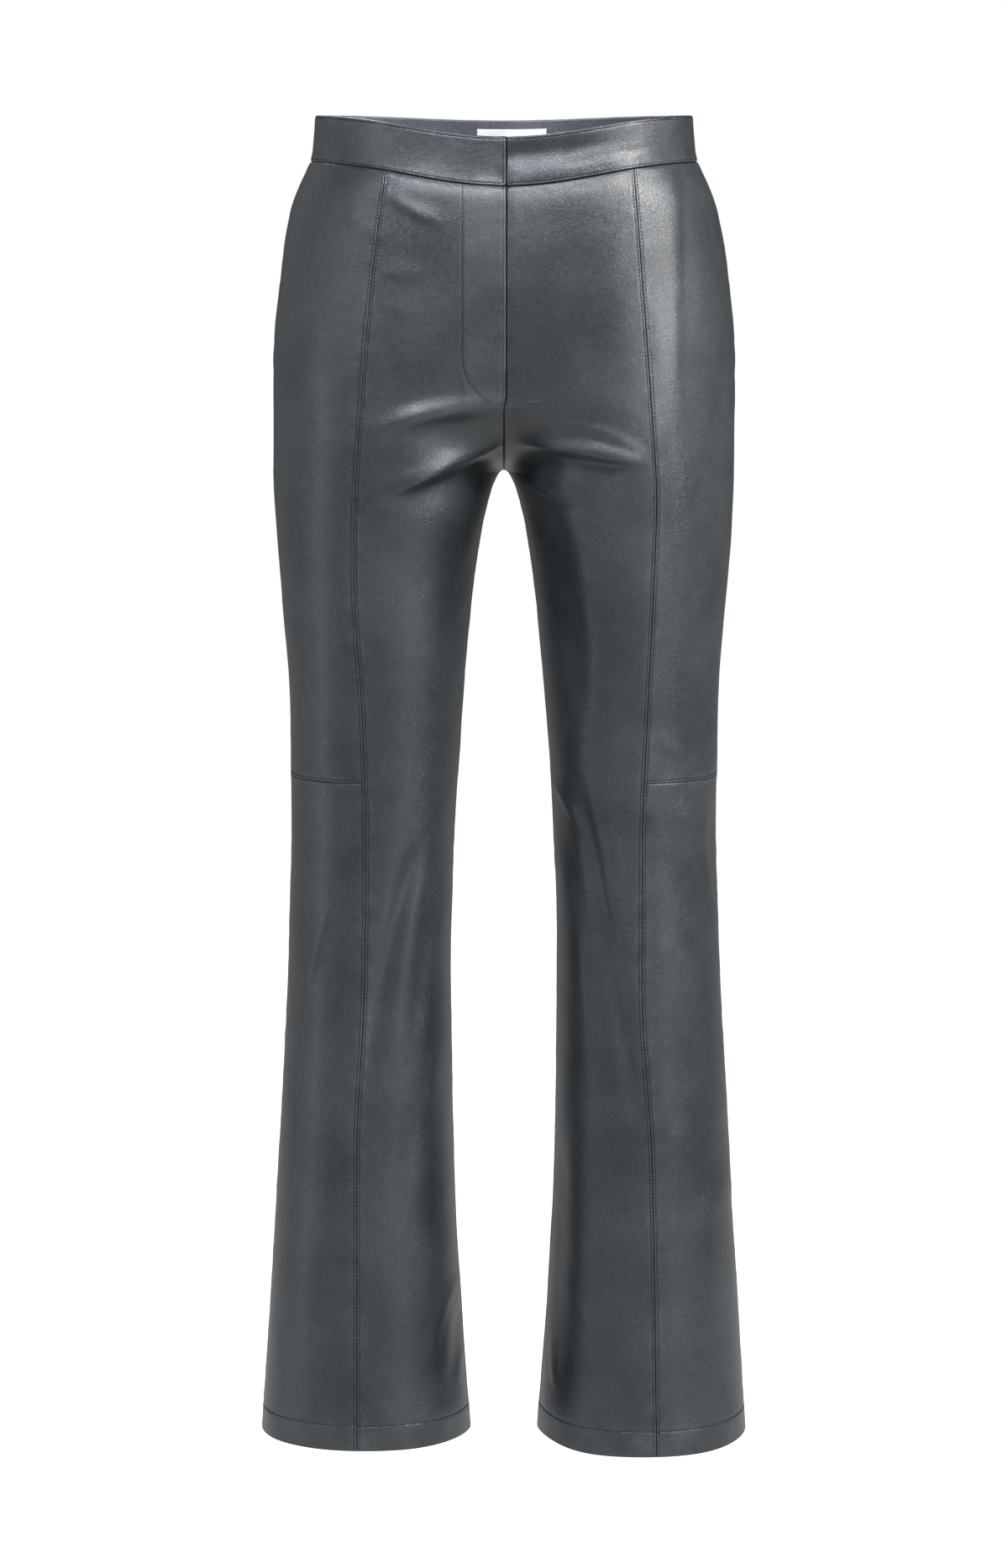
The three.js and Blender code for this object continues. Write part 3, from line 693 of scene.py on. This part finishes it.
def across_turns(ruler, start, end, count):
    """Even columns between two lengths along the sections, close together at the ends."""
    near = np.array(NEAR[:7])
    inner = np.linspace(0, 1, count + 1)
    lengths = []
    for a, b in zip(np.ravel(start), np.ravel(end)):
        middle = a + near[-1] + (b - a - 2 * near[-1]) * inner
        lengths.append(np.concatenate([a + near[:-1], middle, (b - near[:-1])[::-1]]))
    return ruler.turn_at(np.array(lengths))


class Piece:
    """A cut piece: its grid of places, the height of its relief and the thickness of its wall."""

    def __init__(self, half, depths, turns, wall, layer=0):
        self.half = half
        self.depths = np.asarray(depths, float)
        ruler = Ruler(half, self.depths)
        places = turns(half, self.depths, ruler)
        self.point, self.normal = leather(half, self.depths[:, None], places)
        self.length = ruler.length_at(places)
        self.depth = self.depths[:, None] + np.zeros_like(self.length)
        self.away = {
            "start": self.length - self.length[:, :1],
            "end": self.length[:, -1:] - self.length,
            "top": self.depth - self.depths[0],
            "bottom": self.depths[-1] - self.depth,
        }
        self.height = np.zeros_like(self.length)
        self.wall = np.full(self.length.shape, float(wall))
        self.inside = np.zeros_like(self.length)
        self.layer = layer

    def seam(self, edge, profile, share=1.0):
        away = self.away[edge]
        self.height = self.height + relief(profile, away) * share
        self.inside = np.maximum(self.inside, rounding(away, INNER_EDGE) * share)
        self.height = self.height + puckering(self.point, away) * share

    def free(self, edges, radius):
        for edge in edges:
            fall = rounding(self.away[edge], radius)
            self.height = self.height - fall
            self.inside = np.maximum(self.inside, fall)

    def build(self, name, replaced, materials):
        outer = self.point + self.normal * (self.height - self.layer)[..., None]
        inner = self.point - self.normal * (self.wall - self.inside + self.layer)[..., None]
        rows, columns = self.height.shape
        both = np.concatenate([outer.reshape(-1, 3), inner.reshape(-1, 3)])
        if self.half == "right":
            both = both * np.array([-1, 1, 1])
        faces, inner_from = shell_faces(rows, columns, self.half == "right")
        obj = make_mesh(name, both, faces)
        for material in materials:
            obj.data.materials.append(material)
        slots = np.zeros(len(faces), dtype=np.int32)
        slots[inner_from:2 * inner_from] = min(1, len(materials) - 1)
        obj.data.polygons.foreach_set("material_index", slots)
        paint(obj, np.concatenate([self.height.ravel(), np.zeros(rows * columns)]))
        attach(obj, "root")
        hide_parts(replaced)


# Materials


def node(tree, kind, **settings):
    """A node with its properties and its inputs' values set; an underscore stands for a space."""
    made = tree.nodes.new(kind)
    for key, value in settings.items():
        if hasattr(made, key) and key not in made.inputs:
            setattr(made, key, value)
        else:
            made.inputs[key.replace("_", " ")].default_value = value
    return made


def worked_out(tree, operation, *values):
    """A calculation on sockets and plain numbers."""
    made = node(tree, "ShaderNodeMath", operation=operation)
    for socket, value in zip(made.inputs, values):
        if isinstance(value, float):
            socket.default_value = value
        else:
            tree.links.new(value, socket)
    return made.outputs[0]


def texture(tree, kind, where, output, **settings):
    made = node(tree, kind, **settings)
    tree.links.new(where, made.inputs["Vector"])
    return made.outputs[output]


def remap(tree, value, **settings):
    made = node(tree, "ShaderNodeMapRange", **settings)
    tree.links.new(value, made.inputs["Value"])
    return made.outputs["Result"]


def ramp(tree, value, places, colours):
    made = node(tree, "ShaderNodeValToRGB")
    for element, place, colour in zip(made.color_ramp.elements, places, colours):
        element.position = place
        element.color = (*colour, 1)
    tree.links.new(value, made.inputs[0])
    return made.outputs["Color"]


def bump(tree, height, strength, distance, under=None):
    made = node(tree, "ShaderNodeBump", Strength=strength, Distance=distance)
    tree.links.new(height, made.inputs["Height"])
    if under is not None:
        tree.links.new(under, made.inputs["Normal"])
    return made.outputs["Normal"]


def new_material(name):
    made = bpy.data.materials.new(name)
    made.use_nodes = True
    return made, made.node_tree, made.node_tree.nodes["Principled BSDF"].inputs


def leather_material(name, dark, light, rough, grain, coat):
    """Fine-grained leather: clouded and mottled colour, pebbles and pores, with painted highlight on the
    seams' rolls and painted shade in their grooves and on rounded edges.
    """
    mat, tree, surface = new_material(name)
    link = tree.links.new
    where = node(tree, "ShaderNodeTexCoord").outputs["Object"]
    noise = "ShaderNodeTexNoise"
    clouds = texture(tree, noise, where, "Fac", Scale=14.0, Detail=4.0, Roughness=0.55)
    mottle = texture(tree, noise, where, "Fac", Scale=420.0, Detail=3.0, Roughness=0.7)
    slow = texture(tree, noise, where, "Fac", Scale=110.0, Detail=3.0, Roughness=0.5)
    # painted shade and highlight from the stored relief: the seams' grooves and rounded edges are darker,
    # their rolls a little paler
    height = node(tree, "ShaderNodeAttribute", attribute_name="height").outputs["Fac"]
    speckle = remap(tree, mottle, From_Min=0.36, From_Max=0.64, To_Min=0.8, To_Max=1.2)
    painted_shade_and_highlight = remap(tree, height, From_Min=-0.6, From_Max=0.5, To_Min=0.25, To_Max=1.35)
    painted_shade_colour = node(tree, "ShaderNodeVectorMath", operation="SCALE")
    link(ramp(tree, clouds, (0.38, 0.62), (dark, light)), painted_shade_colour.inputs[0])
    link(worked_out(tree, "MULTIPLY", speckle, painted_shade_and_highlight), painted_shade_colour.inputs["Scale"])
    link(painted_shade_colour.outputs["Vector"], surface["Base Color"])
    # gloss: uneven in clouds, and duller in the fine mottle
    patchy = worked_out(tree, "MULTIPLY_ADD", clouds, 0.16, rough - 0.12)
    link(worked_out(tree, "MULTIPLY_ADD", mottle, 0.08, patchy), surface["Roughness"])
    # pebbles a little over a millimetre across, warped so that they don't line up
    push = node(tree, "ShaderNodeVectorMath", operation="MULTIPLY_ADD")
    link(texture(tree, noise, where, "Color", Scale=380.0, Detail=2.0), push.inputs[0])
    push.inputs[1].default_value = (0.0014, 0.0014, 0.0014)
    link(where, push.inputs[2])
    pebbles = texture(tree, "ShaderNodeTexVoronoi", push.outputs["Vector"], "Distance",
                      feature="DISTANCE_TO_EDGE", Scale=850.0)
    domed = remap(tree, pebbles, interpolation_type="SMOOTHSTEP", From_Max=0.25)
    coarse = bump(tree, slow, 0.35, 0.0006)
    uneven = bump(tree, mottle, grain, 0.00035, coarse)
    fine = bump(tree, domed, grain, 0.00016, uneven)
    link(fine, surface["Normal"])
    link(fine, surface["Coat Normal"])
    surface["Coat Weight"].default_value = coat
    surface["Coat Roughness"].default_value = 0.2
    return mat


def fabric_material(name, colour, scale, depth):
    """A plain woven or knitted cloth."""
    mat, tree, surface = new_material(name)
    where = node(tree, "ShaderNodeTexCoord").outputs["Object"]
    ribs = [texture(tree, "ShaderNodeTexWave", where, "Fac", wave_type="BANDS", bands_direction=axis,
                    Scale=scale, Distortion=0.4) for axis in ("X", "Z")]
    clouds = texture(tree, "ShaderNodeTexNoise", where, "Fac", Scale=60.0, Detail=4.0)
    shades = ([c * 0.8 for c in colour], colour)
    tree.links.new(ramp(tree, clouds, (0.3, 0.7), shades), surface["Base Color"])
    tree.links.new(bump(tree, worked_out(tree, "MULTIPLY", *ribs), 0.5, depth), surface["Normal"])
    surface["Roughness"].default_value = 0.85
    surface["Specular IOR Level"].default_value = 0.25
    return mat


LEATHER = leather_material("leather", (0.021, 0.0255, 0.028), (0.035, 0.0415, 0.045), 0.34, 0.4, 0.35)
FACING = leather_material("leather_facing", (0.080, 0.087, 0.108), (0.112, 0.122, 0.148), 0.5, 0.5, 0.1)
BACKING = fabric_material("backing", (0.10, 0.105, 0.115), 420.0, 0.0002)
LINING = fabric_material("lining", (0.045, 0.05, 0.058), 600.0, 0.0002)
WOVEN = fabric_material("label_tape", (0.86, 0.86, 0.84), 700.0, 0.00015)
# painted shade: the thread is coloured far darker than the leather, standing in for the shade in the dents
# that the stitches sink into
THREAD = fabric_material("thread", (0.006, 0.007, 0.008), 2500.0, 0.0001)

# The panels

def hem_waves(point):
    return 0.22 * waves(31, point, 28)


def turn_hem(piece):
    """The hem's second layer, its stitch line, the slight unevenness about it and its edge."""
    above = piece.away["bottom"] - HEM_STITCH
    piece.height = piece.height + np.interp(above, HEM_LINE[0], HEM_LINE[1])
    piece.height = piece.height + hem_waves(piece.point) * np.exp(-((above + 2) / 14.0) ** 2)
    single = smooth(HEM_HEIGHT - 1, HEM_HEIGHT + 1, piece.away["bottom"])
    piece.wall = piece.wall + HEM_FOLD * (1 - single)
    piece.free(["bottom"], HEM_EDGE)


def stitch_fly(piece, fly):
    """The fly's stitch line, and its doubled leather inside that line."""
    away = distance_to_path(piece.length, piece.depth, np.stack(fly_stitch(), axis=1))
    inside = (piece.length < FLY_WIDTH) & (piece.depth < FLY_FOOT)
    near = (piece.length < FLY_WIDTH + 12) & (piece.depth < FLY_FOOT + 10)
    doubled = 0.22 * np.where(inside, smooth(0, 2.5, away), 0) * fly
    piece.height = piece.height + np.where(near, relief(FLY_LINE, away), 0) + doubled


def dress_band(piece, seed):
    """The waistband's two long edges and its slight unevenness."""
    piece.seam("bottom", BAND_FOOT)
    piece.seam("top", BAND_TOP)
    piece.free(["top"], BAND_EDGE)
    soft = 0.12 * waves(seed, piece.point, 34) + 0.05 * waves(seed + 2, piece.point, 13)
    piece.height = piece.height + soft


for half in ("right", "left"):
    piece = Piece(half, panel_depths(PANEL_TOP, SIDE_LENGTH, hem=True), centre_columns, WALL)
    piece.seam("top", UNDER_BAND)
    piece.seam("end", SEAM)
    fly = 1 - smooth(FLY_DEPTH - 4, FLY_DEPTH + 6, piece.depth)
    if half == "right":
        piece.seam("start", LAP, share=fly)
        stitch_fly(piece, fly)
    else:
        piece.seam("start", UNDER_LAP, share=fly)
    piece.seam("start", PLAIN_SEAM, share=1 - fly)
    turn_hem(piece)
    piece.build(f"panel_front_centre_{half}", f"front_centre_{half}", (LEATHER, BACKING))

    piece = Piece(half, panel_depths(PANEL_TOP, KNEE_DEPTH + OVERLAP), side_columns, WALL)
    piece.seam("top", UNDER_BAND)
    piece.seam("start", SEAM)
    piece.seam("bottom", SEAM)
    opened = smooth(POCKET_TOP - 2, POCKET_TOP + 8, piece.depths)
    closed = smooth(POCKET_BOTTOM - 8, POCKET_BOTTOM + 2, piece.depths)
    pocket = (opened * (1 - closed))[:, None]
    piece.seam("end", POCKET, share=pocket)
    piece.seam("end", PLAIN_SEAM, share=1 - pocket)
    piece.build(f"panel_front_side_upper_{half}", f"front_side_upper_{half}", (LEATHER, BACKING))

    piece = Piece(half, panel_depths(KNEE_DEPTH - OVERLAP, SIDE_LENGTH, hem=True), side_columns, WALL)
    piece.seam("top", PLAIN_SEAM)
    piece.seam("start", SEAM)
    piece.seam("end", PLAIN_SEAM)
    turn_hem(piece)
    piece.build(f"panel_front_side_lower_{half}", f"front_side_lower_{half}", (LEATHER, BACKING))

    piece = Piece(half, panel_depths(PANEL_TOP, SIDE_LENGTH, 4, hem=True), back_columns, WALL)
    piece.seam("top", UNDER_BAND)
    piece.seam("start", PLAIN_SEAM)
    piece.seam("end", PLAIN_SEAM)
    turn_hem(piece)
    piece.build(f"panel_back_{half}", f"back_{half}", (LEATHER, BACKING))

    depths = graded(POCKET_TOP - 10, POCKET_BOTTOM + 14, 4)
    piece = Piece(half, depths, facing_columns, FACING_WALL, layer=WALL + FACING_GAP)
    piece.free(["start", "end"], 0.4)
    piece.build(f"facing_pocket_{half}", f"pocket_facing_{half}", (LEATHER, BACKING))

    piece = Piece(half, graded(0, BAND_FOOT_DEPTH + OVERLAP, 1.6), band_columns, BAND_WALL)
    dress_band(piece, 41)
    if half == "right":
        piece.seam("start", LAP)
        piece.wall = piece.wall - LAP_THINNED * (1 - smooth(3, 8, piece.away["start"]))
    else:
        piece.seam("start", UNDER_LAP)
    piece.seam("end", PLAIN_SEAM)
    piece.build(f"band_front_{half}", f"waistband_front_{half}", (LEATHER, FACING))

piece = Piece("right", graded(0, BAND_FOOT_DEPTH + OVERLAP, 1.6), back_band_columns, BAND_WALL)
dress_band(piece, 45)
piece.seam("start", PLAIN_SEAM)
piece.seam("end", PLAIN_SEAM)
piece.build("band_back", "waistband_back", (LEATHER, FACING))

depths = graded(UNDERLAP_TOP, FLY_DEPTH, 4)
piece = Piece("right", depths, whole_columns(UNDERLAP_REACH, 22, False), FACING_WALL,
              layer=FLY_STEP + BAND_WALL + UNDERLAP_GAP)
piece.free(piece.away, 0.45)
piece.build("underlap", "fly_underlap", (LINING, LINING))

depths = graded(LABEL_DROP, LABEL_DROP + LABEL_HEIGHT, 1.5)
piece = Piece("right", depths, whole_columns(LABEL_WIDTH / 2, 36, True, LABEL_ASIDE), LABEL_WALL,
              layer=BAND_WALL + LABEL_GAP)
piece.free(piece.away, 0.3)
piece.inside = piece.inside + 0.15 * waves(51, piece.point, 19)
piece.build("label_tape", "label", (WOVEN, WOVEN))

# Topstitching: short threads that lie in the stitch lines and dip into the leather at both ends

SEAM_STITCH = 2.2
STITCH_PITCH = 2.8
STITCH_LENGTH = 1.6
STITCH_WIDTH = 0.75
POCKET_STITCH = 5.0
# how far down the waistband its two stitch lines lie, and how high
BAND_STITCHES = ((2.1, 0.0), (BAND_FOOT_DEPTH - 1.7, 0.14))
# a thread's rings: place along it, width and height
RINGS = ((-1, 0.45, -0.30), (-0.72, 0.95, -0.06), (0.72, 0.95, -0.06), (1, 0.45, -0.30))
SIDES = 6
# the distance between places along a stitch line
ALONG = 2.0
stitch_points = []


def stitch_line(half, turns, depths, height):
    """Lays stitches along a line of places on one half's surface."""
    turns, depths = np.broadcast_arrays(np.ravel(turns), np.ravel(depths))
    point, normal = leather(half, depths, turns)
    point = point + normal * np.reshape(height(point) if callable(height) else height, (-1, 1))
    if half == "right":
        point, normal = point * [-1, 1, 1], normal * [-1, 1, 1]
    along = np.concatenate([[0], np.cumsum(np.linalg.norm(np.diff(point, axis=0), axis=-1))])
    count = int(along[-1] / STITCH_PITCH)
    if count < 1:
        return
    middle = (np.arange(count) + 0.5) * along[-1] / count
    at = lambda where, values: np.stack([np.interp(where, along, values[:, k]) for k in range(3)], axis=-1)
    first = at(middle - STITCH_LENGTH / 2, point)
    last = at(middle + STITCH_LENGTH / 2, point)
    up = unit(at(middle, normal))
    centre, run = (first + last) / 2, (last - first) / 2
    side = unit(np.cross(run, up))
    rings = []
    for place, size, drop in RINGS:
        for k in range(SIDES):
            angle = 2 * np.pi * k / SIDES
            wide = math.cos(angle) * STITCH_WIDTH / 2 * size
            high = math.sin(angle) * STITCH_WIDTH / 2 * size + drop * STITCH_WIDTH
            rings.append(centre + run * place + side * wide + up * high)
    stitch_points.append(np.stack(rings, axis=1))


def stitch_mesh(name):
    points = np.concatenate(stitch_points)
    count, per = points.shape[:2]
    quads = []
    for r in range(len(RINGS) - 1):
        for k in range(SIDES):
            a, b = r * SIDES + k, r * SIDES + (k + 1) % SIDES
            quads.append((a, b, b + SIDES, a + SIDES))
    last = per - SIDES
    quads += [(3, 2, 1, 0), (5, 4, 3, 0)]
    quads += [(last, last + 1, last + 2, last + 3), (last, last + 3, last + 4, last + 5)]
    faces = (np.array(quads)[None] + (np.arange(count) * per)[:, None, None]).reshape(-1, 4)
    return make_mesh(name, points.reshape(-1, 3), faces)


def seam_height(away, profile=SEAM):
    return lambda point: relief(profile, np.float64(away)) + puckering(point, away) + 0.12


def hem_height(point):
    return hem_waves(point) - 0.18


def level_line(half, depth, start, end, count, height):
    """Stitches at one depth, between two lengths along the section."""
    turns = Ruler(half, [depth]).turn_at(np.linspace(start, end, count))
    stitch_line(half, turns, np.full(count, depth), height)


for half in ("right", "left"):
    depths = np.arange(PANEL_TOP + 1.5, SIDE_LENGTH - 1, ALONG)
    ruler = Ruler(half, depths)
    seam = front_seam_turn(half, depths)
    for side in (-SEAM_STITCH, SEAM_STITCH):
        stitch_line(half, ruler.offset(seam, side), depths, seam_height(SEAM_STITCH))
    # above the knee seam
    depth = KNEE_DEPTH - SEAM_STITCH
    ruler = Ruler(half, [depth])
    start = ruler.length_at(front_seam_turn(half, np.array([depth]))).item() + 3.5
    end = ruler.length_at(side_seam_turn(ruler)).item() - 2
    level_line(half, depth, start, end, 60, seam_height(SEAM_STITCH))
    # round the hem
    depth = SIDE_LENGTH - HEM_STITCH
    level_line(half, depth, 0, Ruler(half, [depth]).whole[0], 220, hem_height)
    # the waistband's front, near both edges
    for depth, height in BAND_STITCHES:
        ruler = Ruler(half, [depth])
        end = ruler.length_at(side_seam_turn(ruler)).item()
        level_line(half, depth, 2.2 if half == "right" else 1.5, end, 100, height)
    # the pocket opening
    depths = np.arange(POCKET_TOP + 6, POCKET_BOTTOM - 6, ALONG)
    ruler = Ruler(half, depths)
    edge = ruler.offset(side_seam_turn(ruler), -pocket_cut(depths) - POCKET_STITCH)
    stitch_line(half, edge, depths, seam_height(POCKET_STITCH, POCKET))

for depth, height in BAND_STITCHES:
    ruler = Ruler("right", [depth])
    start = ruler.length_at(side_seam_turn(ruler)).item()
    level_line("right", depth, start, 2 * ruler.whole[0] - start, 200, height)
# the waistband's end, and the fly
depths = np.linspace(BAND_STITCHES[0][0], BAND_STITCHES[1][0], 20)
ruler = Ruler("right", depths)
stitch_line("right", ruler.turn_at(np.full((20, 1), 2.0 - FLY_LAP)), depths, -0.08)
length, depths = fly_stitch()
ruler = Ruler("right", depths)
inside = depths > PANEL_TOP + 1
stitch_line("right", ruler.turn_at(length[:, None])[inside], depths[inside], -0.2)

stitches = stitch_mesh("topstitching")
stitches.data.materials.append(THREAD)
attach(stitches, "root")

# The camera, level with the waistband and looking a little down

CAMERA_DISTANCE = 4.5
AIM_HEIGHT = -0.529
camera_data = bpy.data.cameras.new("camera")
camera_data.lens = 130.6
camera_data.sensor_width = 36
camera_data.sensor_height = 36
camera_data.sensor_fit = "VERTICAL"
camera = add("camera", camera_data)
camera.location = (0, -CAMERA_DISTANCE, 0)
sight = Vector((0, 0, AIM_HEIGHT)) - camera.location
camera.rotation_euler = sight.to_track_quat("-Z", "Y").to_euler()
bpy.context.scene.camera = camera

# The lights

WHITE = (1, 1, 1)
# name, azimuth from the front towards the wearer's left, elevation, distance, width and height,
# power, the height aimed at, and colour
LIGHTS = (
    ("hip", 61, 30, 2.5, (0.5, 0.55), 41, -0.15, WHITE),
    ("key", 45, 42, 2.5, (0.6, 0.4), 24, -0.2, WHITE),
    ("high_right", 70, 50, 2.5, (0.5, 0.4), 16, -0.2, WHITE),
    ("hip_low", 57, 4.5, 1.2, (0.2, 0.2), 4.6, -0.2, WHITE),
    ("centre", 10, 46, 2.5, (1.0, 0.4), 27, -0.1, WHITE),
    ("low_right", 40, -6, 2.5, (0.6, 1.0), 3.5, -0.5, WHITE),
    ("side_right", 96, 14, 2.5, (0.4, 0.7), 4, -0.4, WHITE),
    ("top_left", -19, 47, 2.5, (1.2, 0.4), 40, -0.2, (0.84, 0.89, 1.0)),
    ("left", -58, 24, 2.5, (0.6, 0.8), 8, -0.3, (0.90, 0.95, 1.0)),
    ("low_left", -82, -2, 2.5, (0.5, 1.2), 5, -0.5, (0.94, 0.98, 1.0)),
    ("back", 200, 50, 2.5, (1.0, 0.6), 30, -0.4, WHITE),
)


def area_light(name, azimuth, elevation, distance, size, power, aim_height, colour):
    data = bpy.data.lights.new(name, "AREA")
    data.shape = "RECTANGLE"
    data.size, data.size_y = size
    data.energy = power
    data.color = colour
    light = add(name, data)
    a, e = math.radians(azimuth), math.radians(elevation)
    away = Vector((math.sin(a) * math.cos(e), -math.cos(a) * math.cos(e), math.sin(e)))
    light.location = Vector((0, 0, aim_height)) + away * distance
    light.rotation_euler = (-away).to_track_quat("-Z", "Y").to_euler()


for row in LIGHTS:
    area_light(*row)

# All round the studio: plain white as the camera sees it, and as a light brightest at the sides and
# in front, and dark above and behind. Each axis has its strength towards -, then towards +.

WORLD_SIDES = {"X": (0.55, 0.26), "Y": (0.42, 0.09), "Z": (0.28, 0.03)}
world = bpy.data.worlds.new("studio")
bpy.context.scene.world = world
world.use_nodes = True
tree = world.node_tree
tree.nodes.clear()
link = tree.links.new
out = node(tree, "ShaderNodeOutputWorld")
seen = node(tree, "ShaderNodeBackground", Color=(1, 1, 1, 1))
lit = node(tree, "ShaderNodeBackground", Color=(0.93, 0.97, 1.0, 1))
split = node(tree, "ShaderNodeSeparateXYZ")
link(node(tree, "ShaderNodeTexCoord").outputs["Generated"], split.inputs[0])
total = 0.0
for axis, (low, high) in WORLD_SIDES.items():
    way = split.outputs[axis]
    sign = worked_out(tree, "SIGN", way)
    side = worked_out(tree, "MULTIPLY_ADD", sign, (high - low) / 2, (high + low) / 2)
    square = worked_out(tree, "MULTIPLY", way, way)
    total = worked_out(tree, "ADD", total, worked_out(tree, "MULTIPLY", square, side))
link(total, lit.inputs["Strength"])
mix = node(tree, "ShaderNodeMixShader")
link(node(tree, "ShaderNodeLightPath").outputs["Is Camera Ray"], mix.inputs[0])
link(lit.outputs[0], mix.inputs[1])
link(seen.outputs[0], mix.inputs[2])
link(mix.outputs[0], out.inputs["Surface"])

# A plain floor, as pale as what is round it

FLOOR_HEIGHT = -1.36
FLOOR_REACH = 9
corners = [(-1, -1), (1, -1), (1, 1), (-1, 1)]
floor_mesh = bpy.data.meshes.new("floor")
floor_mesh.from_pydata([(FLOOR_REACH * x, FLOOR_REACH * y, 0) for x, y in corners], [], [(0, 1, 2, 3)])
floor = add("floor", floor_mesh)
floor.location = (0, 0, FLOOR_HEIGHT)
white, tree, surface = new_material("studio_floor")
surface["Base Color"].default_value = (0.45, 0.45, 0.45, 1)
surface["Roughness"].default_value = 0.9
surface["Specular IOR Level"].default_value = 0.1
surface["Emission Color"].default_value = (1, 1, 1, 1)
seen = node(tree, "ShaderNodeLightPath").outputs["Is Camera Ray"]
tree.links.new(remap(tree, seen, To_Min=0.14, To_Max=1.0), surface["Emission Strength"])
floor.data.materials.append(white)

scene = bpy.context.scene
scene.view_settings.view_transform = "Standard"
scene.view_settings.look = "None"
